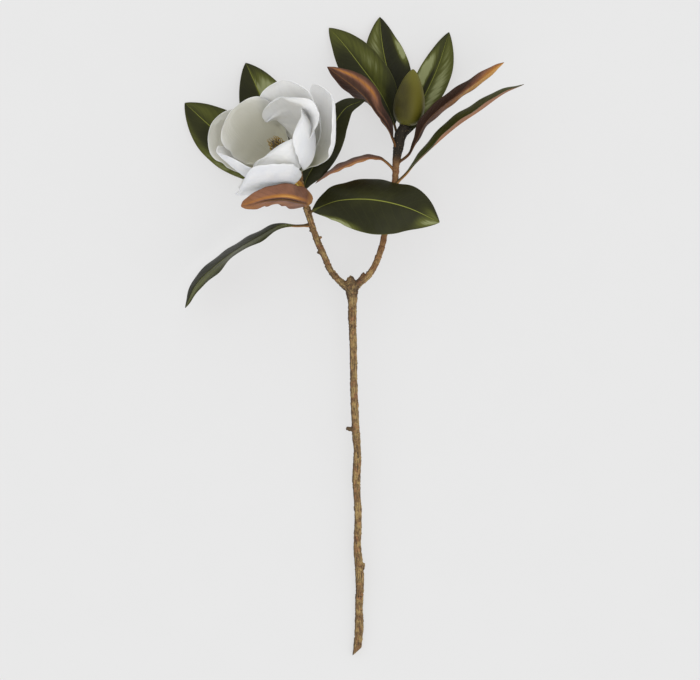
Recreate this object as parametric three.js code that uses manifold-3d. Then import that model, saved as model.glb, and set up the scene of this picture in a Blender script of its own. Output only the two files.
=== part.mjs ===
// A cut branch of evergreen magnolia, lying on a table: a forked woody stem, an open bloom on its
// left twig, a bud on its right twig, and leathery leaves round both. Millimetres, +Z up. The branch
// lies along Y with its cut end towards -Y, and the origin is on the table under the middle of the
// part.

import * as THREE from "three";
import { mergeVertices } from "three/addons/utils/BufferGeometryUtils.js";
import Module from "manifold-3d";

const wasm = await Module();
wasm.setup();

// Driving dimensions, in millimetres.
const SEAT_GAP = 0.3; // between a petiole, petal or bud and what it grows from
const LEAF_THICKNESS = 0.8;
const MIDRIB_DEPTH = 0.9; // how far the midrib stands out of a leaf's underside
const PETIOLE_RADIUS = 1.7;
const PETIOLE_LENGTH = 20;
const PETAL_THICKNESS = 1.2;
const CLAW_THICKNESS = 1.8; // of a petal at its narrow foot
const BARK_SIDES = 12;
const STEM_KNOTS = 0.03; // swelling of the wood at its knots, as a share of its radius
const TWIG_KNOTS = 0.02;

const UP = new THREE.Vector3(0, 0, 1);
const vec = (p) => new THREE.Vector3(p[0], p[1], p[2]);
const radians = THREE.MathUtils.degToRad;
const smooth = THREE.MathUtils.smoothstep;
const mix = THREE.MathUtils.lerp;
const steps = (n) => Array.from({ length: n + 1 }, (_, i) => i / n);

// The value at u, from 0 to 1, of a smooth line through evenly spaced values, or of a single value.
function along(values, u) {
  if (!Array.isArray(values)) return values;
  const last = values.length - 1;
  const i = Math.min(Math.floor(u * last), last - 1);
  const t = u * last - i;
  const [a, b, c, d] = [i - 1, i, i + 1, i + 2].map((k) => values[THREE.MathUtils.clamp(k, 0, last)]);
  return b + 0.5 * t * (c - a + t * (2 * a - 5 * b + 4 * c - d + t * (3 * (b - c) + d - a)));
}

// A closed skin over rings of points. The second half of each ring lies under the first half, so its
// quads are split along the same diagonals, and thin blades never cut through themselves.
function loft(rings) {
  const n = rings[0].length;
  const index = [];
  for (let i = 0; i < rings.length - 1; i++) {
    for (let j = 0; j < n; j++) {
      const [a, b] = [i * n + j, i * n + ((j + 1) % n)];
      const [c, d] = [b + n, a + n];
      if (j < n / 2) index.push(a, b, c, a, c, d);
      else index.push(a, b, d, b, c, d);
    }
  }
  const foot = (j) => j;
  const head = (j) => (rings.length - 1) * n + j;
  for (let j = 0; j < n / 2 - 1; j++) {
    const [p, q, r, s] = [j, j + 1, n - 2 - j, n - 1 - j];
    index.push(foot(p), foot(r), foot(q), foot(p), foot(s), foot(r));
    index.push(head(p), head(q), head(r), head(p), head(r), head(s));
  }
  const geometry = new THREE.BufferGeometry().setFromPoints(rings.flat());
  return geometry.setIndex(index);
}

function solidOf(geometry) {
  const bare = geometry.clone();
  bare.deleteAttribute("normal");
  bare.deleteAttribute("uv");
  const merged = mergeVertices(bare, 1e-3);
  const vertProperties = merged.attributes.position.array;
  const triVerts = new Uint32Array(merged.index.array);
  return new wasm.Manifold(new wasm.Mesh({ numProp: 3, vertProperties, triVerts }));
}

function meshOf(name, solid, material) {
  const { numProp, vertProperties, triVerts } = solid.getMesh();
  const position = new Float32Array((vertProperties.length / numProp) * 3);
  for (let i = 0; i < position.length / 3; i++) {
    position.set(vertProperties.subarray(i * numProp, i * numProp + 3), i * 3);
  }
  const geometry = new THREE.BufferGeometry()
    .setAttribute("position", new THREE.BufferAttribute(position, 3))
    .setIndex(new THREE.BufferAttribute(triVerts, 1));
  geometry.computeVertexNormals();
  const mesh = new THREE.Mesh(geometry, material);
  mesh.name = name;
  return mesh;
}

// The largest body of a solid: what trimming a foot against its seat leaves, without loose scraps.
function mainBody(solid) {
  return solid.decompose().reduce((best, body) => (body.volume() > best.volume() ? body : best));
}

const MATERIALS = {
  bark: new THREE.MeshStandardMaterial({ color: 0x8a6a42, roughness: 0.85 }),
  leaf: new THREE.MeshStandardMaterial({ color: 0x35452a, roughness: 0.35 }),
  petal: new THREE.MeshStandardMaterial({ color: 0xe9eaec, roughness: 0.6 }),
  stamen: new THREE.MeshStandardMaterial({ color: 0xcdb46a, roughness: 0.7 }),
  pistil: new THREE.MeshStandardMaterial({ color: 0x8a7a3a, roughness: 0.7 }),
  bud: new THREE.MeshStandardMaterial({ color: 0x6d6a26, roughness: 0.6 }),
};

// Wood --------------------------------------------------------------------------------------------

// A round limb through points [x, y, z, radius], with a few ring scars where the radius swells.
function limb(points, { grow = 0, spacing = 13, knots = 0 } = {}) {
  const curve = new THREE.CatmullRomCurve3(points.map(vec), false, "centripetal");
  const radii = points.map((p) => p[3]);
  const rings = steps(Math.ceil(curve.getLength() / spacing)).map((u) => {
    const centre = curve.getPointAt(u);
    const tangent = curve.getTangentAt(u);
    const side = new THREE.Vector3().crossVectors(UP, tangent).normalize();
    const over = new THREE.Vector3().crossVectors(tangent, side);
    const radius = along(radii, curve.getUtoTmapping(u)) * (1 + knots * Math.sin(u * 97)) + grow;
    centre.addScaledVector(tangent, grow * Math.sign(u - 0.5) * Math.floor(Math.abs(2 * u - 1)));
    return steps(BARK_SIDES - 1).map((_, j) => {
      const turn = (2 * Math.PI * j) / BARK_SIDES;
      const out = side.clone().multiplyScalar(Math.cos(turn)).addScaledVector(over, Math.sin(turn));
      return centre.clone().addScaledVector(out, radius);
    });
  });
  return solidOf(loft(rings));
}

// Centre lines and radii of the wood: x, y, z, radius.
const STEM = [
  [3, -384, 4.3, 4.6],
  [6, -354, 4.6, 5.2],
  [6, -327, 6, 4.6],
  [7, -299, 8, 5],
  [6, -277, 10, 5.1],
  [4, -254, 12, 4.6],
  [5, -217, 15, 4.3],
  [3, -181, 17, 4.4],
  [3, -166, 18, 5.1],
  [4, -143, 20, 4.5],
  [2, -111, 22, 4.6],
  [0, -67, 25, 4.4],
  [-1, -9, 29, 4.4],
  [-2, 21, 31, 4.9],
  [-2, 43, 33, 5.7],
  [-3, 57, 34, 7.2],
];
const BLOOM_TWIG = [
  [-3, 55, 34, 5.4],
  [-17, 65, 35, 4.2],
  [-28, 78, 37, 3.8],
  [-36, 96, 39, 3.7],
  [-43, 111, 41, 3.9],
  [-49, 128, 42, 3.7],
  [-56, 150, 45, 4.2],
  [-61, 167, 47, 4.4],
  [-65, 181, 50, 4.8],
  [-68, 197, 56, 6],
  [-70, 203, 60, 6],
];
const BUD_TWIG = [
  [-3, 55, 34, 5.4],
  [9, 65, 36, 4.2],
  [18, 73, 37, 3.9],
  [25, 84, 38, 3.8],
  [34, 109, 40, 3.7],
  [40, 140, 42, 3.7],
  [49, 184, 44, 3.8],
  [50, 203, 45, 4.3],
  [53, 225, 46, 6],
  [56, 240, 47, 7],
  [63, 251, 48, 7],
];

// Short broken spurs and leaf scars that stand out of the bark.
const SPURS = [
  [[2, -113, 22, 3.2], [-4, -112, 23, 2.6], [-9, -111, 24, 2]],
  [[-4, 57, 34, 4], [-5, 66, 37, 3], [-6, 72, 39, 1.8]],
  [[4, 62, 35, 2.6], [9, 71, 38, 2], [12, 75, 39, 1.6]],
  [[7, -284, 10, 3], [10, -278, 11, 2.8], [12, -273, 11, 1.6]],
  [[-37, 98, 39, 2.2], [-42, 99, 41, 1.8], [-44, 100, 41, 1.5]],
  [[-44, 114, 41, 2.2], [-41, 117, 42, 1.8], [-39, 118, 42, 1.4]],
  [[-48, 125, 42, 2.2], [-51, 125, 43, 1.8], [-53, 126, 43, 1.4]],
];

// The table cuts a small flat under the cut end, and a slanting cut ends the stem.
function woodyStem() {
  const twigs = [BLOOM_TWIG, BUD_TWIG].map((points) => limb(points, { knots: TWIG_KNOTS }));
  const stem = limb(STEM, { knots: STEM_KNOTS });
  const spurs = SPURS.map((points) => limb(points, { spacing: 5 }));
  const underTable = new THREE.BoxGeometry(60, 120, 20).translate(0, -370, -10);
  const slantCut = new THREE.BoxGeometry(60, 40, 60).translate(0, -20, 0).rotateZ(radians(42));
  slantCut.translate(5, -379, 0);
  const aboveFoot = turned([[0, 0], [14, 0], [14, 30], [0, 30]], 12);
  const cuts = wasm.Manifold.union([solidOf(underTable), solidOf(slantCut), aboveFoot]);
  return wasm.Manifold.union([stem, ...twigs, ...spurs]).subtract(cuts);
}

// What petioles are trimmed against: the twigs, swollen by the gap at a seat.
const grownTwig = (points) => limb(points, { grow: SEAT_GAP, knots: TWIG_KNOTS });
const twigSeats = wasm.Manifold.union([grownTwig(BLOOM_TWIG), grownTwig(BUD_TWIG)]);

// Blades ------------------------------------------------------------------------------------------

// One side of a blade's cross-section, from the midrib (v = 0) to the margin (v = 1), in the plane
// square to the spine. The slope starts at fold and turns by bend on the way out.
function crossSection(halfWidth, fold, bend, columns) {
  const points = [{ across: 0, up: 0, slope: fold, v: 0 }];
  for (let k = 1; k <= columns; k++) {
    const before = points[k - 1];
    const middle = radians(fold + (bend * (k - 0.5)) / columns);
    points.push({
      across: before.across + (halfWidth / columns) * Math.cos(middle),
      up: before.up + (halfWidth / columns) * Math.sin(middle),
      slope: fold + (bend * k) / columns,
      v: k / columns,
    });
  }
  return points;
}

// A thin closed blade along a spine, with its upper face turned to facing. Roll, fold, bend and
// ripple are in degrees: roll turns the whole blade about its spine, fold lifts each half into a V,
// bend curves it on outwards, and ripple(u, hand) adds to the bend of one half.
function blade({
  spine, facing, stations, columns, halfWidth, thickness, roll = 0, fold = 0, bend = 0, ripple = () => 0,
}) {
  const curve = new THREE.CatmullRomCurve3(spine.map(vec), false, "centripetal");
  const length = curve.getLength();
  const rings = stations.map((u) => {
    const centre = curve.getPointAt(u);
    const tangent = curve.getTangentAt(u);
    const normal = facing.clone().addScaledVector(tangent, -facing.dot(tangent)).normalize();
    normal.applyAxisAngle(tangent, radians(along(roll, u)));
    const left = new THREE.Vector3().crossVectors(normal, tangent);
    const half = (hand) =>
      crossSection(halfWidth(u, length), along(fold, u), along(bend, u) + ripple(u, hand), columns);
    const place = ({ across, up, slope, v }, hand, face) => {
      const tilt = radians(v === 0 ? 0 : slope);
      const lift = face * thickness(u, v, face, length);
      return centre
        .clone()
        .addScaledVector(left, hand * (across - lift * Math.sin(tilt)))
        .addScaledVector(normal, up + lift * Math.cos(tilt));
    };
    const across = (face) => [
      ...half(1).slice(1).reverse().map((p) => place(p, 1, face)),
      ...half(-1).map((p) => place(p, -1, face)),
    ];
    return [...across(1), ...across(-1).reverse()];
  });
  return solidOf(loft(rings));
}

// Leaves ------------------------------------------------------------------------------------------

// Half the width of an elliptic leaf at b from its foot (0) to its tip (1), for a full width of 2.
const MARGIN_WAVES = 2.3; // along one margin
const leafOutline = (b, widest, point) =>
  Math.sin(Math.PI * Math.pow(b, Math.log(0.5) / Math.log(widest))) ** point;

// Its outline is pointed at both ends where point is 1, and rounder below that.
function leaf({
  spine, width, petiole = PETIOLE_LENGTH, widest = 0.52, point = 0.8, roll, fold, bend = -12, wave = 0,
}) {
  const footOf = (length) => petiole / length;
  const bladeShare = (u, length) => THREE.MathUtils.clamp((u - footOf(length)) / (1 - footOf(length)), 0, 1);
  const halfWidth = (u, length) => {
    const b = Math.min(bladeShare(u, length), 0.992);
    return Math.max((width / 2) * leafOutline(b, widest, point), mix(PETIOLE_RADIUS, 0.6, u));
  };
  const thickness = (u, v, face, length) => {
    const b = bladeShare(u, length);
    const stalk = PETIOLE_RADIUS * Math.sqrt(1 - 0.92 * v * v);
    const rib = v === 0 && face < 0 ? MIDRIB_DEPTH * (1 - b) : 0;
    return mix(stalk, LEAF_THICKNESS / 2 + rib, smooth(b, 0, 0.1));
  };
  const ripple = (u, hand) =>
    wave * smooth(u, 0.2, 0.4) * Math.sin(2 * Math.PI * (MARGIN_WAVES * u + 0.2 * hand));
  const stations = steps(15);
  const shape = { stations, columns: 2, halfWidth, thickness, roll, fold, bend, ripple };
  const solid = blade({ spine, facing: UP, ...shape });
  return mainBody(solid.subtract(twigSeats));
}

// Spines run from the middle of the twig, along the petiole and the midrib, to the tip.
const LEAVES = {
  leaf_lower_left: {
    spine: [
      [-52, 132, 42], [-67, 131, 45], [-88, 131, 49], [-115, 117, 48],
      [-142, 101, 45], [-168, 81, 40], [-189, 60, 35], [-202, 33, 31],
    ],
    width: 48, roll: [60, 64, 68, 76, 68, 64, 60], fold: [4, 6, 8, 10, 6, 6, 8],
  },
  leaf_behind_bloom_left: {
    spine: [
      [-60, 164, 46], [-70, 170, 32], [-90, 184, 16],
      [-120, 208, 7.5], [-160, 240, 5], [-203, 279, 1.2],
    ],
    width: 64, widest: 0.6, roll: 0, fold: 6, wave: 10,
  },
  leaf_behind_bloom_top: {
    spine: [
      [-62, 171, 47], [-68, 184, 34], [-80, 212, 20],
      [-97, 250, 12], [-113, 290, 8], [-130, 327, 4],
    ],
    width: 60, widest: 0.6, roll: 4, fold: 9, wave: 10,
  },
  leaf_beside_bloom: {
    spine: [
      [-61, 166, 46], [-58, 184, 46], [-47, 205, 42], [-35, 229, 42],
      [-23, 254, 47], [-8, 273, 55], [14, 281, 60],
    ],
    width: 42, roll: [0, 0, -6, -10, -14, -26, -30], fold: 8, wave: 6,
  },
  leaf_between_twigs: {
    spine: [
      [51, 192, 45], [43, 203, 46], [30, 212, 47], [10, 211, 46],
      [-11, 203, 44], [-29, 194, 40], [-46, 182, 36],
    ],
    width: 35, roll: [125, 116, 106, 103, 103, 100, 98], fold: 9,
  },
  leaf_front: {
    spine: [
      [-55, 146, 44], [-47, 150, 54], [-34, 156, 64], [-17, 161, 71],
      [20, 162, 77], [62, 153, 77], [102, 135, 70],
    ],
    width: 82, petiole: 9, widest: 0.51, roll: [-4, -18, -25, -27, -22, -8, 0],
    fold: [-4, -12, -17, -19, -17, -8, -4], bend: -14, wave: 3,
  },
  leaf_curled: {
    spine: [
      [-57, 155, 46], [-59, 156, 74], [-67, 157, 108], [-84, 160, 134],
      [-106, 160, 142], [-122, 154, 137], [-135, 150, 126],
    ],
    width: 45, widest: 0.4, point: 0.6, roll: 158, fold: [0, 24, 46, 46, 46, 46, 46], bend: 10,
  },
  bract_under_bloom: {
    spine: [[-63, 170, 48], [-64, 174, 53], [-67, 179, 57], [-71, 184, 59], [-76, 189, 59]],
    width: 14, petiole: 3, widest: 0.4, roll: 0, fold: 20,
  },
  leaf_bud_left: {
    spine: [
      [53, 235, 45], [45, 262, 28], [32, 290, 20],
      [8, 323, 14], [-12, 349, 8], [-30, 369, 3],
    ],
    width: 52, roll: 0, fold: 18, wave: 10,
  },
  leaf_bud_back: {
    spine: [
      [56, 242, 45], [55, 262, 22], [46, 300, 9],
      [38, 328, 7], [33, 356, 5.5], [31, 382, 4.5],
    ],
    width: 54, roll: 10, fold: 8, wave: 10,
  },
  leaf_bud_right: {
    spine: [
      [53, 221, 46], [61, 238, 34], [71, 260, 22],
      [86, 290, 12], [101, 323, 5], [114, 364, 0.9],
    ],
    width: 41, widest: 0.56, roll: 0, fold: 18, wave: 6,
  },
  leaf_bud_front: {
    spine: [
      [52, 217, 46], [48, 231, 51], [39, 250, 55], [26, 267, 57],
      [15, 283, 58], [1, 296, 57], [-16, 309, 53], [-32, 321, 49],
    ],
    width: 38, roll: [150, 124, 124, 106, 132, 150, 160, 166], fold: 22, bend: 6,
  },
  leaf_side_upper: {
    spine: [
      [50, 205, 45], [65, 216, 51], [73, 231, 56], [84, 253, 60],
      [104, 273, 62], [126, 289, 63], [146, 303, 62], [179, 326, 59],
    ],
    width: 42, roll: [-104, -110, -112, -112, -110, -110, -116, -122], fold: 10,
  },
  leaf_side_lower: {
    spine: [
      [49, 181, 45], [61, 192, 49], [73, 206, 53], [105, 236, 56],
      [126, 253, 57], [150, 269, 57], [180, 290, 54], [203, 300, 50],
    ],
    width: 42, roll: [-72, -70, -70, -74, -78, -80, -84, -90], fold: [10, 12, 14, 16, 18, 18, 18, 14],
  },
};

// Bloom -------------------------------------------------------------------------------------------

// The bloom's own frame: its foot on the peduncle, the axis its cup opens along, and two directions
// square to it. Petals are placed by their turn about the axis, from front (the side facing up from
// the table) round to side.
const BLOOM_FOOT = new THREE.Vector3(-68, 199, 58);
const BLOOM_TILT = 38; // of its axis above the table, in degrees
const BLOOM_HEADING = 131; // of its axis round the table, from +X
const axis = new THREE.Vector3(1, 0, 0)
  .applyAxisAngle(new THREE.Vector3(0, -1, 0), radians(BLOOM_TILT))
  .applyAxisAngle(UP, radians(BLOOM_HEADING));
const front = UP.clone().addScaledVector(axis, -UP.dot(axis)).normalize();
const side = new THREE.Vector3().crossVectors(axis, front);

const RECEPTACLE_RADIUS = 8;
const STAMEN_ZONE = [13, 27]; // heights along the axis
const PISTIL_TOP = 56;

// A point of the bloom at a radius from the axis, a height along it and a turn in degrees.
function inBloom(radius, height, turn) {
  const [sin, cos] = [Math.sin(radians(turn)), Math.cos(radians(turn))];
  const out = front.clone().multiplyScalar(cos).addScaledVector(side, sin);
  return BLOOM_FOOT.clone().addScaledVector(axis, height).addScaledVector(out, radius);
}

// A solid of revolution on the bloom's axis from [radius, height] points, larger all round by grow.
function turned(profile, sides) {
  const geometry = new THREE.LatheGeometry(profile.map(([r, h]) => new THREE.Vector2(r, h)), sides);
  geometry.applyMatrix4(new THREE.Matrix4().makeBasis(side, axis, front).setPosition(BLOOM_FOOT));
  return solidOf(geometry);
}

// Half the width of a petal at b from its foot to its tip, for a full width of 2: broadest well past
// the middle, and slimmer below that with a larger taper.
const petalOutline = (b, widest, taper) =>
  b < widest
    ? Math.sin((Math.PI / 2) * (b / widest)) ** taper
    : Math.sqrt(1 - Math.min((b - widest) / (1.002 - widest), 0.997) ** 3);

// Its profile runs from inside the receptacle, out and up, as [radius, height]; its tip swings round
// by lean.
function petal({ turn, lean = 0, profile, width, widest = 0.66, taper = 1.05, roll = 0, bend, claw = 11 }) {
  const last = profile.length - 1;
  const spine = profile.map(([radius, height], i) =>
    inBloom(radius, height, turn + lean * (i / last) ** 2).toArray(),
  );
  const facing = axis.clone().sub(inBloom(1, 0, turn).sub(BLOOM_FOOT));
  const stations = steps(12).map((i) => mix(i, Math.sin((Math.PI / 2) * i), 0.8));
  const halfWidth = (u) => Math.max(mix(claw, 0, u), width * petalOutline(u, widest, taper)) / 2;
  const thickness = (u) => mix(CLAW_THICKNESS, PETAL_THICKNESS, smooth(u, 0, 0.35)) / 2;
  return blade({ spine, facing, stations, columns: 4, halfWidth, thickness, roll, bend });
}

const PETALS = {
  petal_inner_front: {
    turn: -17, lean: -16, width: 104, widest: 0.74,
    profile: [[3, 12], [18, 12], [33, 24], [41, 41], [43, 56], [39, 70]],
    bend: [20, 46, 52, 50, 50, 44],
  },
  petal_inner_back: {
    turn: 194, width: 88,
    profile: [[3, 9.6], [20, 9.3], [38, 22], [49, 42], [55, 63], [59, 87]],
    bend: [20, 42, 48, 46, 40, 20],
  },
  petal_inner_top: {
    turn: 92, lean: 29, width: 102, widest: 0.8, taper: 1.7,
    profile: [[3, 13], [18, 12.6], [31, 23], [41, 43], [45, 62], [41, 86]],
    bend: [20, 46, 58, 60, 54, 34],
  },
  petal_middle_right: {
    turn: 47, lean: 11, width: 72, widest: 0.7, taper: 1.4, roll: 2,
    profile: [[3, 8], [22, 7.5], [38, 20], [49, 42], [53, 64], [53, 84]],
    bend: [16, 40, 48, 44, 36, 20],
  },
  petal_middle_top: {
    turn: 110, lean: 7, width: 110, widest: 0.76, roll: 5,
    profile: [[3, 4.6], [24, 4.6], [46, 19], [59, 43], [63, 68], [65, 90]],
    bend: [16, 38, 50, 50, 46, 28],
  },
  petal_middle_left: {
    turn: 276, lean: -19, width: 92, roll: [0, 0, 4, 8, 10, 10],
    profile: [[3, 6.8], [22, 5.5], [41, 17], [52, 36], [57, 58], [61, 86]],
    bend: [16, 42, 48, 46, 38, 24],
  },
  petal_outer_right: {
    turn: 75, width: 76, widest: 0.8, taper: 1.7, roll: [0, 0, 5, 9, 12, 12],
    profile: [[3, 2], [27, -2], [50, 7], [66, 27], [79, 51], [91, 75]],
    bend: [16, 32, 40, 44, 38, 24],
  },
  petal_outer_left: {
    turn: 211, lean: -2, width: 82, roll: 3,
    profile: [[3, 2.6], [26, 0], [50, 9], [68, 28], [80, 53], [84, 80]],
    bend: [16, 34, 42, 42, 34, 16],
  },
  petal_outer_bottom: {
    turn: 312, lean: -22, width: 116, roll: [4, 4, 4, 7, 12, 14],
    profile: [[3, 1], [20, 0], [38, 9], [53, 25], [65, 43], [76, 60]],
    bend: [16, 40, 54, 54, 44, 24],
  },
};

// A slim curved spike that grows from the receptacle, through [radius, height] pairs.
function spike(profile, turn, radius) {
  const centres = profile.map(([r, h]) => inBloom(r, h, turn));
  const u = axis.clone().cross(inBloom(1, 0, turn).sub(BLOOM_FOOT));
  const rings = centres.map((centre, i) => {
    const next = centres[Math.min(i + 1, centres.length - 1)];
    const v = next.clone().sub(centres[Math.max(i - 1, 0)]).normalize().cross(u);
    const size = mix(radius, radius * 0.45, i / (centres.length - 1));
    const corners = [u, v, u.clone().negate(), v.clone().negate()];
    return corners.map((corner) => centre.clone().addScaledVector(corner, size));
  });
  return solidOf(loft(rings));
}

// Places n things round the axis on a climbing golden-angle spiral between two heights.
const GOLDEN_ANGLE = 137.508;
const spiral = (n, [low, high], make) =>
  steps(n - 1).map((s, i) => make(mix(low, high, s), i * GOLDEN_ANGLE, s));

function receptacleWithStamens() {
  const [low, high] = STAMEN_ZONE;
  const outline = [[0, SEAT_GAP], [6, SEAT_GAP], [RECEPTACLE_RADIUS, 3], [7.5, low], [6, high], [0, high]];
  const stamens = spiral(26, [low + 1, high - 2], (h, turn) =>
    spike([[4, h - 1], [9, h + 1], [12, h + 6], [11, h + 12]], turn, 1.3),
  );
  return wasm.Manifold.union([turned(outline, 20), ...stamens]);
}

function pistilCone() {
  const foot = STAMEN_ZONE[1] + SEAT_GAP;
  const top = PISTIL_TOP - 3;
  const outline = [[0, foot], [5, foot], [7, foot + 6], [6.5, foot + 14], [3, top - 1], [0, top]];
  const styles = spiral(30, [foot + 3, PISTIL_TOP - 6], (h, turn, s) =>
    spike([[3, h], [mix(8.5, 5, s), h + 2], [mix(11, 7, s), h + 5], [mix(10.5, 8, s), h + 8]], turn, 1.2),
  );
  return wasm.Manifold.union([turned(outline, 16), ...styles]);
}

// What petals are trimmed against: the receptacle, and the peduncle's end under it.
const seatOutline = [[0, -6], [6.5, -6], [RECEPTACLE_RADIUS + SEAT_GAP, 3], [RECEPTACLE_RADIUS, 16], [0, 16]];
const bloomSeat = wasm.Manifold.union([turned(seatOutline, 20), grownTwig(BLOOM_TWIG)]);

// Bud ---------------------------------------------------------------------------------------------

const BUD_LENGTH = 68;
const BUD_RADIUS = 19.5;
const BUD_FOOT = new THREE.Vector3(63, 251, 48);
const BUD_AXIS = new THREE.Vector3(8, 70, 6).normalize();

// Egg-shaped, widest a third of the way up, and drawn out to a blunt tip.
function bud() {
  const outline = steps(14).map((s) => {
    const height = BUD_LENGTH * (1 - Math.cos(Math.PI * s)) * 0.5;
    const share = height / BUD_LENGTH;
    return new THREE.Vector2(BUD_RADIUS * Math.sin(Math.PI * Math.pow(share, 0.62)) ** 0.72, height);
  });
  outline[0].x = outline[14].x = 0;
  const geometry = new THREE.LatheGeometry(outline, 20);
  geometry.applyQuaternion(new THREE.Quaternion().setFromUnitVectors(new THREE.Vector3(0, 1, 0), BUD_AXIS));
  geometry.translate(BUD_FOOT.x, BUD_FOOT.y, BUD_FOOT.z);
  return mainBody(solidOf(geometry).subtract(grownTwig(BUD_TWIG)));
}

// Assembly ----------------------------------------------------------------------------------------

const branch = new THREE.Group();
branch.add(meshOf("woody_stem", woodyStem(), MATERIALS.bark));
for (const [name, spec] of Object.entries(LEAVES)) {
  branch.add(meshOf(name, leaf(spec), MATERIALS.leaf));
}
for (const [name, spec] of Object.entries(PETALS)) {
  branch.add(meshOf(name, mainBody(petal(spec).subtract(bloomSeat)), MATERIALS.petal));
}
branch.add(meshOf("receptacle_with_stamens", receptacleWithStamens(), MATERIALS.stamen));
branch.add(meshOf("pistil_cone", pistilCone(), MATERIALS.pistil));
branch.add(meshOf("bud", bud(), MATERIALS.bud));

export default branch;
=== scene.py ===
"""A cut branch of evergreen magnolia lying on a pale table, dressed over its fixed frame.

Each grown piece is rebuilt finely from the sizes it grows by: blades and tepals along their ribs,
wood along its limbs, and the organs of the bloom on a spiral. Sizes are in millimetres until a
mesh is made.
"""

import math

import bmesh
import bpy
import numpy as np
from mathutils import Matrix, Vector


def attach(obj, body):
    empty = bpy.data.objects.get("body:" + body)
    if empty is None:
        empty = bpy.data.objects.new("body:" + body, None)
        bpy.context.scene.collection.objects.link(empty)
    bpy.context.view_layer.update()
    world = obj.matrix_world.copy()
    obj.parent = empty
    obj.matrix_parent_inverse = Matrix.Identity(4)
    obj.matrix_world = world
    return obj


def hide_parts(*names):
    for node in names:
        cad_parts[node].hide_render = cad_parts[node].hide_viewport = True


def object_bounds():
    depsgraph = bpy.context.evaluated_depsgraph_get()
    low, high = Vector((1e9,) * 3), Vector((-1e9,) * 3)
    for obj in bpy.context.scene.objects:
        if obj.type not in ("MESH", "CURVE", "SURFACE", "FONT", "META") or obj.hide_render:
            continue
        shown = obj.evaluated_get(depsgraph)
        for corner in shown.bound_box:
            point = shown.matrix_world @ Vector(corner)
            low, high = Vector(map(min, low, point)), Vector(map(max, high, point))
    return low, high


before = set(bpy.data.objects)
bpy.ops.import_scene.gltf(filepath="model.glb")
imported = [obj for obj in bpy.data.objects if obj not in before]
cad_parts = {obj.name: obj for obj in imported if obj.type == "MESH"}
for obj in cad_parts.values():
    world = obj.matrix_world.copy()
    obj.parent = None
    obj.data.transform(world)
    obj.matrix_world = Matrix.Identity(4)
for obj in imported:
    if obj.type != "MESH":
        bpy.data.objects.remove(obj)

MM = 0.001
GOLDEN_ANGLE = math.radians(137.508)
UP = np.array([0.0, 0.0, 1.0])
FORK = (-1, 57, 35)  # where the two twigs leave the stem
cad_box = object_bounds()


# Lines, steps and waves ------------------------------------------------------------------------


def smooth(low, high, x):
    t = np.clip((x - low) / (high - low), 0, 1)
    return t * t * (3 - 2 * t)


def mix(a, b, t):
    return a + (b - a) * t


def unit(vectors):
    return vectors / np.linalg.norm(vectors, axis=-1, keepdims=True)


def along(values, u):
    """The value at each u, from 0 to 1, of a smooth line through evenly spaced values."""
    values = np.atleast_1d(np.asarray(values, float))
    last = len(values) - 1
    if last == 0:
        return np.full_like(u, values[0])
    i = np.minimum((u * last).astype(int), last - 1)
    t = u * last - i
    a, b, c, d = (values[np.clip(i + k, 0, last)] for k in (-1, 0, 1, 2))
    return b + 0.5 * t * (c - a + t * (2 * a - 5 * b + 4 * c - d + t * (3 * (b - c) + d - a)))


STRETCH_STEPS = 40  # points on each stretch of a smooth line


class Spine:
    """A smooth line through points [x, y, z, ...], read at shares u of its length."""

    def __init__(self, points):
        p = np.array([q[:3] for q in points], float)
        p = np.vstack([2 * p[0] - p[1], p, 2 * p[-1] - p[-2]])
        t = np.linspace(0, 1, STRETCH_STEPS, endpoint=False)[:, None]
        stretches = []
        for a, b, c, d in zip(p, p[1:], p[2:], p[3:]):
            back, here, on = (np.linalg.norm(q - r) ** 0.5 for q, r in ((a, b), (b, c), (c, d)))
            leave = here * ((b - a) / back - (c - a) / (back + here) + (c - b) / here)
            arrive = here * ((c - b) / here - (d - b) / (here + on) + (d - c) / on)
            bow = 3 * (c - b) - 2 * leave - arrive
            stretches.append(b + t * (leave + t * (bow + t * (2 * (b - c) + leave + arrive))))
        self.line = np.vstack([*stretches, p[-2]])
        steps = np.linalg.norm(np.diff(self.line, axis=0), axis=1)
        self.run = np.concatenate([[0], np.cumsum(steps)])
        self.length = self.run[-1]

    def _read(self, values, u):
        return np.stack([np.interp(u * self.length, self.run, column) for column in values.T], -1)

    def point(self, u):
        return self._read(self.line, u)

    def tangent(self, u):
        return unit(self._read(np.gradient(self.line, self.run, axis=0), u))

    def knot_share(self, u):
        """How far through the list of points each u lies, from 0 to 1."""
        return np.interp(u * self.length, self.run, np.linspace(0, 1, len(self.run)))


def wobble(points, size, seed):
    """Gentle bumps between about -1 and 1 over points, with hollows about size apart."""
    draw = np.random.default_rng(seed)
    total = 0
    for _ in range(6):
        way = unit(draw.normal(size=points.shape[-1])) * draw.uniform(0.7, 1.6) * math.pi / size
        total = total + np.sin(points @ way + draw.uniform(0, 2 * math.pi))
    return total / 3


# Meshes ----------------------------------------------------------------------------------------


def linked(name, data):
    """A new object of the scene that shows a mesh, a light or a camera."""
    made = bpy.data.objects.new(name, data)
    bpy.context.scene.collection.objects.link(made)
    return made


def shade_smooth(mesh):
    mesh.polygons.foreach_set("use_smooth", np.ones(len(mesh.polygons), bool))


def paint_growth(mesh, growth):
    """Writes each point's growth coordinates as the mesh's UV map."""
    corners = np.empty(len(mesh.loops), int)
    mesh.loops.foreach_get("vertex_index", corners)
    layer = mesh.uv_layers.new(name="growth")
    layer.data.foreach_set("uv", np.asarray(growth, float)[corners].ravel())


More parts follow.
